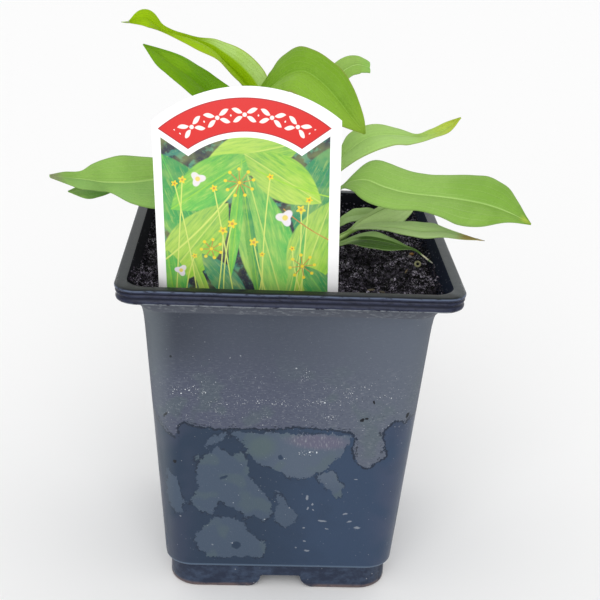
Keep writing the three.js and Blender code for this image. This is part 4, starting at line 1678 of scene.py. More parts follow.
class CardShader(ShaderTree):
    """The card's printed front: a picture under a red arched band, in a white border."""

    def __init__(self, look: CardFinish) -> None:
        """Start the material on the card's own flat place.

        Args:
            look: The colours, sizes and motifs.
        """
        super().__init__("card_print")
        self.look = look
        self.u, self.v = self.flat(1 / METRES)
        self.spot = self.join(self.u, self.v)

    def leaf(self, leaf: PaintedLeaf, under: Socket) -> Socket:
        """Lay one leaf over the picture.

        Args:
            leaf: The leaf.
            under: The picture's colour so far.

        Returns:
            The colour with the leaf.
        """
        middle, turn = (leaf.x, leaf.z), math.radians(leaf.tilt)
        along, across, _ = self.split(self.turned(self.spot, middle, turn, (leaf.reach, leaf.width)))
        grain = self.grain(self.turned(self.spot, middle, turn, (6, 0.8)), 1.0, 3, 0.6)
        colour = self.lay(
            leaf.blade,
            (across.rise(-0.9, 0.7) * 0.45, leaf.rib),
            (along.rise(-1.1, 1.1) * 0.3 + grain.rise(0.45, 0.7) * 0.35, self.look.deep),
            (grain.fall(0.3, 0.5) * 0.35, self.look.straw),
            (across.size().fall(0.02, 0.2 / leaf.width) * 0.6, leaf.rib),
        )
        return self.mix((1 - along * along - across.size()).rise(0, 0.08), under, colour)

    def stem(self, stem: PaintedStem, under: Socket) -> Socket:
        """Lay one stem over the picture.

        Args:
            stem: The stem.
            under: The picture's colour so far.

        Returns:
            The colour with the stem.
        """
        (x0, z0), (x1, z1) = stem.start, stem.end
        centre = ((x0 + x1) / 2, (z0 + z1) / 2)
        reach = math.hypot(x1 - x0, z1 - z0) / 2
        local = self.turned(self.spot, centre, math.atan2(z1 - z0, x1 - x0), (reach, 1.0))
        along, across, _ = self.split(local)
        off = across - (1 - along * along) * stem.bow
        mask = off.size().fall(stem.width * 0.7, stem.width * 1.2) * along.size().fall(0.98, 1.0)
        return self.mix(mask, under, stem.colour)

    def flower(self, flower: PaintedFlower, under: Socket) -> Socket:
        """Lay one flower over the picture.

        Args:
            flower: The flower.
            under: The picture's colour so far.

        Returns:
            The colour with the flower.
        """
        reach = (flower.radius, flower.radius)
        local = self.turned(self.spot, (flower.x, flower.z), 0.7 * flower.x, reach)
        along, across, _ = self.split(local)
        edge = 0.78 + (across.turn_from(along) * flower.petals).sine() * 0.2
        away = self.length(local)
        painted = self.mix(away.fall(0.2, 0.35) * 0.85, flower.colour, flower.heart)
        return self.mix((edge - away).rise(0, 0.15), under, painted)

    def umbel(self, umbel: PaintedUmbel, under: Socket) -> Socket:
        """Lay one umbel over the picture.

        Args:
            umbel: The umbel.
            under: The picture's colour so far.

        Returns:
            The colour with the umbel.
        """
        local = self.turned(self.spot, (umbel.x, umbel.z), umbel.turn, (1, 1))
        along, across, _ = self.split(local)
        away = self.length(local)
        step = math.tau / umbel.rays
        arc = ((across.turn_from(along) / step + 0.5).part() - 0.5) * away * step
        rays = arc.size().fall(0.07, 0.15) * away.fall(umbel.radius - 0.1, umbel.radius)
        beads = self.length(self.join(arc, away - umbel.radius)).fall(0.38, 0.5)
        colour = self.mix(rays, under, self.look.amber)
        return self.mix(beads.most(away.fall(0.35, 0.5)), colour, self.look.yellow)

    def picture(self) -> Socket:
        """Lay all the motifs over a dark ground, with a haze over them.

        Returns:
            The picture's colour.
        """
        look = self.look
        colour = self.mix(self.grain(self.spot, 2.6, 3).rise(0.5, 0.62), look.slate, look.teal)
        motifs = ((self.leaf, look.leaves()), (self.stem, look.stems()), (self.umbel, look.umbels()),
                  (self.flower, look.flowers()))
        for lay, shapes in motifs:
            for shape in shapes:
                colour = lay(shape, colour)
        haze = self.grain(self.spot, 5, 2).rise(0.4, 0.7) * 0.22
        haze = haze.most(self.grain(self.spot, 0.7, 3, 0.7).rise(0.5, 0.8) * 0.25)
        return self.mix(haze, colour, look.straw)

    def ornaments(self, away: Wire, angle: Wire) -> Wire:
        """Draw a row of small leaves and dots along the red band.

        Args:
            away: The distance from the arch's centre.
            angle: The angle about that centre, from straight up.

        Returns:
            Their mask.
        """
        repeat, size = self.look.ornament_step, self.look.ornament_size
        middle = (self.look.band_inner + self.look.band_outer) / 2
        cell = (angle / repeat + 0.5).part() - 0.5
        across = (away - middle) / size
        along = cell * (repeat * middle / size)
        spray = along.size()
        swell = (spray - 1.55) / 1.15
        leaf = (1 - swell * swell) * 0.62
        sprays = (leaf - (across.size() - 0.25 - spray * 0.45).size()).rise(0, 0.12)
        dot = self.length(self.join(along, across)).fall(0.42, 0.52)
        bead = self.length(self.join(spray - 3.05, across)).fall(0.22, 0.3)
        return sprays.most(dot).most(bead) * angle.size().fall(repeat * 2.6, repeat * 2.62)

    def build(self) -> Material:
        """Print the picture and the band on the white card.

        Returns:
            The material of the card's front.
        """
        look, soft = self.look, self.look.print_soft
        aside = self.u - look.band_middle
        above = self.v - look.arch_centre
        away = self.length(self.join(aside, above))
        angle = aside.turn_from(above)
        fan = math.radians(look.fan_angle)
        beyond = aside.size() * math.cos(fan) - (self.v - look.fan_centre) * math.sin(fan)
        band = away.rise(look.band_inner - soft, look.band_inner + soft)
        band = band * away.fall(look.band_outer - soft, look.band_outer + soft) * beyond.fall(-soft, soft)
        edge = (away - look.band_inner).least(look.band_outer - away).least(beyond * -1).fall(0.12, 0.4)
        framed = (look.band_inner - look.margin - away).most(beyond - look.margin)
        framed = framed.least(self.u + look.picture_left).least(look.picture_right - self.u)
        panel = framed.least(self.v - look.picture_bottom).rise(-soft, soft)
        colour = self.mix(panel, look.white, self.picture())
        red = self.mix(edge * 0.7, look.red, look.red_edge)
        inside = (away - look.band_inner - 1).least(look.band_outer - 1 - away).least(-2 - beyond)
        red = self.mix(self.ornaments(away, angle) * inside.rise(0, 0.1), red, look.ornament)
        fine = self.grain(self.spot, 0.4, 2)
        return self.finish(
            Base_Color=self.mix(band, colour, red),
            Roughness=0.3 + fine * 0.12,
            Specular_IOR_Level=0.4,
            Normal=self.bump(fine, 0.01),
        )


@dataclass
class LabelCard:
    """The picture card: an arched top and a stake that narrows into the soil."""

    x: float = -11.0
    y: float = -36.4
    z: float = 97.0
    lean: float = 2.0
    tilt: float = 2.5
    width: float = 47.0
    thickness: float = 0.5
    arch_radius: float = 36.0
    shoulder: float = -4.0
    neck_width: float = 15.0
    neck_top: float = -13.0
    neck_bottom: float = -28.0
    tip_width: float = 2.0
    tip: float = -35.0
    arch_steps: int = 48
    edge_round: float = 0.09
    edge_steps: int = 2
    edge_angle: float = 60.0
    finish: CardFinish = field(default_factory=CardFinish)

    def outline(self) -> Outline:
        """Draw the card's outline in its own X and Z.

        Returns:
            Its corners, counterclockwise from the front.
        """
        half, neck, tip = self.width / 2, self.neck_width / 2, self.tip_width / 2
        reach = math.acos(half / self.arch_radius)
        points = [(neck, self.neck_bottom), (neck, self.neck_top), (half, self.shoulder)]
        for step in range(self.arch_steps + 1):
            angle = reach + (math.pi - 2 * reach) * step / self.arch_steps
            x = self.arch_radius * math.cos(angle)
            points.append((x, self.finish.arch_centre + self.arch_radius * math.sin(angle)))
        points += [(-half, self.shoulder), (-neck, self.neck_top), (-neck, self.neck_bottom)]
        return points + [(-tip, self.tip), (tip, self.tip)]

    def build(self) -> Piece:
        """Make the card, print it and stand it in the soil.

        Returns:
            The finished card.
        """
        card = prism("picture_card", self.outline(), self.thickness / 2)
        card.data.materials.append(CardShader(self.finish).build())
        card.data.materials.append(self.finish.plain())
        for face in card.data.polygons:
            face.material_index = Side.PRINT.value if face.index == 0 else Side.PLAIN.value
        sheet = card.data.uv_layers.new(name="UVMap")
        for loop in card.data.loops:
            point = card.data.vertices[loop.vertex_index].co
            sheet.data[loop.index].uv = (point.x, point.z)
        rounding = card.modifiers.new("rounding", "BEVEL")
        rounding.width = self.edge_round * METRES
        rounding.segments = self.edge_steps
        rounding.limit_method = "ANGLE"
        rounding.angle_limit = math.radians(self.edge_angle)
        rounding.material = Side.PLAIN.value
        bake_modifiers(card)
        move = Matrix.Translation(Vector((self.x, self.y, self.z)) * METRES)
        back = Matrix.Rotation(math.radians(self.tilt), 4, "X")
        aside = Matrix.Rotation(-math.radians(self.lean), 4, "Y")
        card.data.transform(move @ (back @ aside))
        smooth(card.data, 30)
        return dress(card, "card", card.data.materials[0], "label_card")


# Leaves


def through(values: list[float], share: np.ndarray) -> np.ndarray:
    """Return a smooth curve through values that stand at even steps from 0 to 1.

    Args:
        values: The values that the curve goes through.
        share: Where it is read.

    Returns:
        Its value at each place.
    """
    share = np.asarray(share, float)
    if len(values) == 1:
        return np.full(share.shape, float(values[0]))
    last = len(values) - 1
    ends = np.array([2 * values[0] - values[1], *values, 2 * values[last] - values[last - 1]], float)
    index = np.minimum((share * last).astype(int), last - 1)
    u = share * last - index
    a, b, c, d = ends[index], ends[index + 1], ends[index + 2], ends[index + 3]
    return 0.5 * (2 * b + (c - a) * u + (2 * a - 5 * b + 4 * c - d) * u**2 + (3 * b - a - 3 * c + d) * u**3)


def even_points(knots: Points, start: float, end: float, steps: int) -> np.ndarray:
    """Walk along part of a smooth curve through knots in even steps.

    Args:
        knots: The knots.
        start: Where the part begins, as a share of the spans between knots.
        end: Where it ends.
        steps: How many steps it has.

    Returns:
        One row for each point.
    """
    samples = np.linspace(start, end, 1600)
    fine = np.column_stack([through([knot[axis] for knot in knots], samples) for axis in range(3)])
    travelled = np.concatenate([[0], np.cumsum(np.linalg.norm(np.diff(fine, axis=0), axis=1))])
    goals = np.linspace(0, travelled[-1], steps + 1)
    return np.column_stack([np.interp(goals, travelled, fine[:, axis]) for axis in range(3)])


def unit(vectors: np.ndarray) -> np.ndarray:
    """Return vectors of length one with the same directions."""
    return vectors / np.linalg.norm(vectors, axis=-1, keepdims=True)


def level_sides(points: np.ndarray) -> tuple[np.ndarray, np.ndarray]:
    """Find the directions of a path and of its level sides.

    Args:
        points: The points along the path.

    Returns:
        The direction ahead at each point, and the one to its right.
    """
    ahead = unit(np.gradient(points, axis=0))
    return ahead, unit(np.cross(ahead, (0.0, 0.0, 1.0)))


@dataclass(frozen=True)
class Blemish:
    """A spot on a leaf: where it is across (-1 to 1) and along (0 to 1), its half sizes and its colour."""

    across: float
    along: float
    half_across: float
    half_along: float
    colour: Colour
    strength: float = 1.0


@dataclass(frozen=True)
class LeafFinish:
    """A leaf's colours: its halves, which meet at split and may differ by painted light and shade, the tip,
    the veins, the underside and the stalk.
    """

    left: Colour = srgb(128, 186, 62)
    right: Colour = srgb(134, 188, 74)
    tip: Colour = srgb(140, 190, 84)
    vein: Colour = srgb(176, 208, 124)
    margin: Colour = srgb(160, 200, 96)
    under: Colour = srgb(142, 182, 96)
    stalk: Colour = srgb(122, 160, 70)
    rim: Colour = srgb(118, 150, 76)
    withered: Colour = srgb(140, 140, 128)
    tip_from: float = 0.75
    tip_full: float = 1.0
    split: float = 0.0
    veins_across: float = 4.4
    webs_across: float = 7.0
    webs_along: float = 46.0
    vein_strength: float = 0.35
    rib_strength: float = 0.8
    gloss: float = 0.22
    blemishes: tuple[Blemish, ...] = ()

    def material(self, name: str) -> Material:
        """Make the leaf's material, which reads across and along from the leaf's own UV map.

        Args:
            name: The material's name.

        Returns:
            The material.
        """
        tree = ShaderTree(name)
        u, v = tree.flat()
        below = u.rise(1.4, 1.6)
        across = (u - below * 2) * 2 - 1
        place = tree.place()
        fine = tree.grain(place, 0.5, 3, 0.6)
        patchy = tree.grain(place, 5, 3, 0.5)
        strand = ((across.size() * self.veins_across).part() - 0.5).size().fall(0.03, 0.11)
        net = tree.cells(tree.join(across * self.webs_across, v * self.webs_along), 1.0, "DISTANCE_TO_EDGE")
        web = Wire(tree, net.outputs["Distance"]).fall(0.02, 0.09)
        veins = (strand * 0.5).most(web * 0.22) * v.rise(-0.01, 0.05)
        rib = across.size().fall(0.012, 0.055)
        back = tree.mix((strand * 0.35).most(web * 0.2).most(rib * 0.8), self.under, self.vein)
        colour = tree.lay(
            self.left,
            # Where the halves' colours differ, that is painted light and shade: the halves of a folded leaf
            # catch the light differently.
            (across.rise(self.split - 0.06, self.split + 0.06), self.right),
            (v.rise(self.tip_from, self.tip_full), self.tip),
            ((veins * self.vein_strength).most(rib * self.rib_strength), self.vein),
            (patchy.rise(0.4, 0.75) * 0.25, self.margin),
            (across.size().rise(0.93, 0.98) * 0.6, self.rim),
            (fine.rise(0.45, 0.8) * 0.12, self.stalk),
            (below, back),
        )
        for spot in self.blemishes:
            centre, reach = (spot.across, spot.along), (spot.half_across, spot.half_along)
            shaken = tree.shaken(tree.join(across, v), 0.12, 0.08)
            near = tree.length(tree.turned(shaken, centre, 0, reach)).fall(0.6, 1.1)
            colour = tree.mix(near * spot.strength, colour, spot.colour)
        streak = tree.grain(tree.join(across * 2, v * 1.5), 0.6, 3)
        stem = tree.mix(streak.rise(0.4, 0.7), self.stalk, self.vein)
        height = strand * -0.5 + web * -0.3 + fine * 0.25 + patchy * 0.5
        return tree.finish(
            Base_Color=tree.mix(v.fall(-0.02, 0.04), colour, stem),
            Roughness=0.42 + fine * 0.12 + below * 0.12,
            Specular_IOR_Level=self.gloss,
            Normal=tree.bump(height * (1 - below * 2), 0.12),
        )

    def thread_material(self, name: str) -> Material:
        """Make the material of the withered thread at the tip.

        Args:
            name: The material's name.

        Returns:
            The material.
        """
        tree = ShaderTree(name)
        fine = tree.grain(tree.place(), 0.5, 3)
        return tree.finish(
            Base_Color=tree.mix(fine.rise(0.4, 0.6), self.tip, self.withered),
            Roughness=0.5 + fine * 0.2,
            Specular_IOR_Level=0.2,
        )


@dataclass(frozen=True)
class Spine:
    """The points along a leaf, with the side and upward directions at each.

    The places up_stalk and along run from 0 to 1 over the stalk and over the blade.
    """

    points: np.ndarray
    sides: np.ndarray
    normals: np.ndarray
    up_stalk: np.ndarray
    along: np.ndarray


@dataclass
class Leaf:
    """One long-stalked leaf: a round stalk that flattens into a blade folded about its midrib.

    The knots of stalk and blade run from the foot to the tip. The half widths in left and right, and the
    angles in roll and fold in degrees, stand at even steps along the blade.
    """

    name: str
    stalk: Points
    blade: Points
    left: list[float]
    right: list[float]
    roll: list[float]
    fold: list[float]
    tip: float = 0.2
    thread: Points = ()
    finish: LeafFinish = field(default_factory=LeafFinish)
    ripple: float = 0.25
    ripples: float = 3.5
    base_radius: float = 1.1
    neck_radius: float = 0.7
    thinnest: float = 0.12
    half_thickness: float = 0.2
    edge_thickness: float = 0.08
    rib_length: float = 0.8
    cross_arch: float = 0.1
    neck_length: float = 0.1
    crease: float = 0.09
    vein_places: tuple[float, ...] = (0.24, 0.47, 0.7)
    vein_width: float = 0.3
    vein_depth: float = 0.07
    keel_depth: float = 0.06
    keel_width: float = 0.35
    groove_width: float = 0.45
    groove_depth: float = 0.12
    stalk_steps: int = 26
    blade_steps: int = 110
    across_steps: int = 56
    crowding: float = 0.55
    thread_radius: float = 0.32
    thread_taper: float = 0.75
    thread_steps: int = 12
    thread_around: int = 8

    def spine(self) -> Spine:
        """Follow the knots from the stalk's foot to the tip.

        Returns:
            The spine, with the blade's sides smoothed and the stalk's held as the blade's first.
        """
        knots = [*self.stalk, *self.blade]
        joint = len(self.stalk) / (len(knots) - 1)
        stalk = even_points(knots, 0, joint, self.stalk_steps)
        blade = even_points(knots, joint, 1, self.blade_steps)
        points = np.vstack([stalk[:-1], blade])
        ahead, sides = level_sides(points)
        window = max(3, self.blade_steps // 9)
        kernel = np.hanning(2 * window + 1)
        held = sides[self.stalk_steps:]
        padded = np.vstack([np.repeat(held[:1], window, 0), held, np.repeat(held[-1:], window, 0)])
        evened = [np.convolve(padded[:, axis], kernel / kernel.sum(), "valid") for axis in range(3)]
        sides[self.stalk_steps:] = np.column_stack(evened)
        sides[:self.stalk_steps] = sides[self.stalk_steps]
        sides = unit(sides - ahead * np.sum(sides * ahead, axis=1, keepdims=True))
        steps = np.arange(len(points))
        up_stalk = np.clip(steps / self.stalk_steps, 0, 1)
        along = np.clip((steps - self.stalk_steps) / self.blade_steps, 0, 1)
        return Spine(points, sides, np.cross(sides, ahead), up_stalk, along)

    def width(self, across: np.ndarray, t: np.ndarray) -> np.ndarray:
        """Read the blade's half width.

        Args:
            across: Places across it, from -1 to 1.
            t: The one place along it.

        Returns:
            The half width on the side of each place.
        """
        left, right = ([self.neck_radius, *values, self.tip] for values in (self.left, self.right))
        return np.maximum(np.where(across < 0, through(left, t)[0], through(right, t)[0]), self.thinnest)

    def build(self) -> Piece:
        """Make the leaf from rings along its spine.

        Returns:
            The finished leaf.
        """
        spine = self.spine()
        even = np.linspace(-1, 1, self.across_steps + 1)
        across = self.crowding * np.sin(even * math.pi / 2) + (1 - self.crowding) * even
        count, around = len(spine.points), 2 * len(across)
        rings = [self.ring(i, spine, across) for i in range(count)]
        leaf = add_mesh(f"plantain_leaf_{self.name}", np.vstack(rings), tube_faces(count, around), sharp=60)
        self.lay_out(leaf, spine, across)
        return dress(leaf, "leaf", self.finish.material(leaf.name), f"leaf_{self.name}")

    def build_thread(self) -> Piece:
        """Make the withered thread that the leaf's tip ends in.

        Returns:
            The finished thread.
        """
        points = even_points(self.thread, 0, 1, self.thread_steps)
        ahead, sides = level_sides(points)
        normals = np.cross(sides, ahead)
        angles = np.linspace(0, math.tau, self.thread_around, endpoint=False)
        rings = []
        for i, point in enumerate(points):
            radius = self.thread_radius * (1 - self.thread_taper * i / self.thread_steps)
            circle = np.outer(np.cos(angles), sides[i]) + np.outer(np.sin(angles), normals[i])
            rings.append(point + radius * circle)
        faces = tube_faces(len(rings), self.thread_around)
        thread = add_mesh(f"plantain_leaf_{self.name}_thread", np.vstack(rings), faces, sharp=60)
        return dress(thread, "leaf", self.finish.thread_material(thread.name))

    def ring(self, i: int, spine: Spine, across: np.ndarray) -> np.ndarray:
        """Shape one ring: over the upper face from left to right, then back under the lower face.

        Args:
            i: The ring's number.
            spine: The leaf's spine.
            across: The places across it, from -1 to 1.

        Returns:
            The ring's points.
        """
        side, normal, centre = spine.sides[i], spine.normals[i], spine.points[i]
        radius = self.base_radius + (self.neck_radius - self.base_radius) * spine.up_stalk[i]
        height = np.sqrt(np.maximum(1 - across * across, 0.0))
        upper = centre + np.outer(across * radius, side) + np.outer(height * radius, normal)
        lower = centre + np.outer(across * radius, side) - np.outer(height * radius, normal)
        if i >= self.stalk_steps:
            flat_upper, flat_lower = self.section(i, spine, across)
            blend = min(spine.along[i] / self.neck_length, 1.0)
            blend = blend * blend * (3 - 2 * blend)
            upper = upper + (flat_upper - upper) * blend
            lower = lower + (flat_lower - lower) * blend
        return np.vstack([upper, lower[::-1]])

    def section(self, i: int, spine: Spine, across: np.ndarray) -> tuple[np.ndarray, np.ndarray]:
        """Shape the blade at one place along it.

        Args:
            i: The ring's number.
            spine: The leaf's spine.
            across: The places across it, from -1 to 1.

        Returns:
            The points of its upper and of its lower face.
        """
        t = spine.along[i]
        at = np.array([t])
        width = self.width(across, at)
        angle = math.radians(through(self.roll, at)[0])
        angle = angle - math.radians(through(self.fold, at)[0]) * np.tanh(across / self.crease)
        out = np.outer(np.cos(angle), spine.sides[i]) - np.outer(np.sin(angle), spine.normals[i])
        over = np.outer(np.cos(angle), spine.normals[i]) + np.outer(np.sin(angle), spine.sides[i])
        reach = np.abs(across)
        wave = np.sin(math.tau * self.ripples * t + 2.0 * np.sign(across) + self.roll[0])
        wave = self.ripple * reach**3 * wave * min(1.0, width.max() / 5) * math.sin(math.pi * t)
        arch = self.cross_arch * width * 4 * reach * (1 - reach) + wave
        away = reach * width
        from_veins = [(reach - place) * width / self.vein_width for place in self.vein_places]
        veins = sum(np.exp(-(away_from**2)) for away_from in from_veins) * self.vein_depth
        fade = min(1.0, 6 * t, 8 * (1 - t))
        half = self.half_thickness + (self.edge_thickness - self.half_thickness) * reach
        rib = self.neck_radius * max(1 - t / self.rib_length, 0.0)
        keel_width = self.keel_width + rib * 0.7
        keel = max(rib - self.half_thickness, self.keel_depth) * np.exp(-((away / keel_width) ** 2))
        groove = self.groove_depth * np.exp(-((away / self.groove_width) ** 2)) + veins
        middle = spine.points[i] + (across * width)[:, None] * out
        top = middle + over * (arch + half - groove * fade)[:, None]
        bottom = middle + over * (arch - half - keel - veins * fade)[:, None]
        return top, bottom

    def lay_out(self, leaf: Piece, spine: Spine, across: np.ndarray) -> None:
        """Write the UV map: across the leaf and along it, with the underside two further over.

        Args:
            leaf: The leaf.
            spine: Its spine.
            across: The places across it, from -1 to 1.
        """
        half = len(across)
        around = 2 * half
        column = np.concatenate([across, across[::-1]]) * 0.5 + 0.5
        row = np.where(spine.up_stalk < 1, (spine.up_stalk - 1) * 0.5, spine.along)
        sheet = leaf.data.uv_layers.new(name="UVMap")
        for face in leaf.data.polygons:
            columns = [v % around for v in face.vertices]
            below = sum(c >= half for c in columns) > 2 or len(columns) > 4
            for loop, vertex in zip(face.loop_indices, face.vertices):
                u = column[vertex % around] + (2.0 if below else 0.0)
                sheet.data[loop].uv = (u, row[vertex // around])


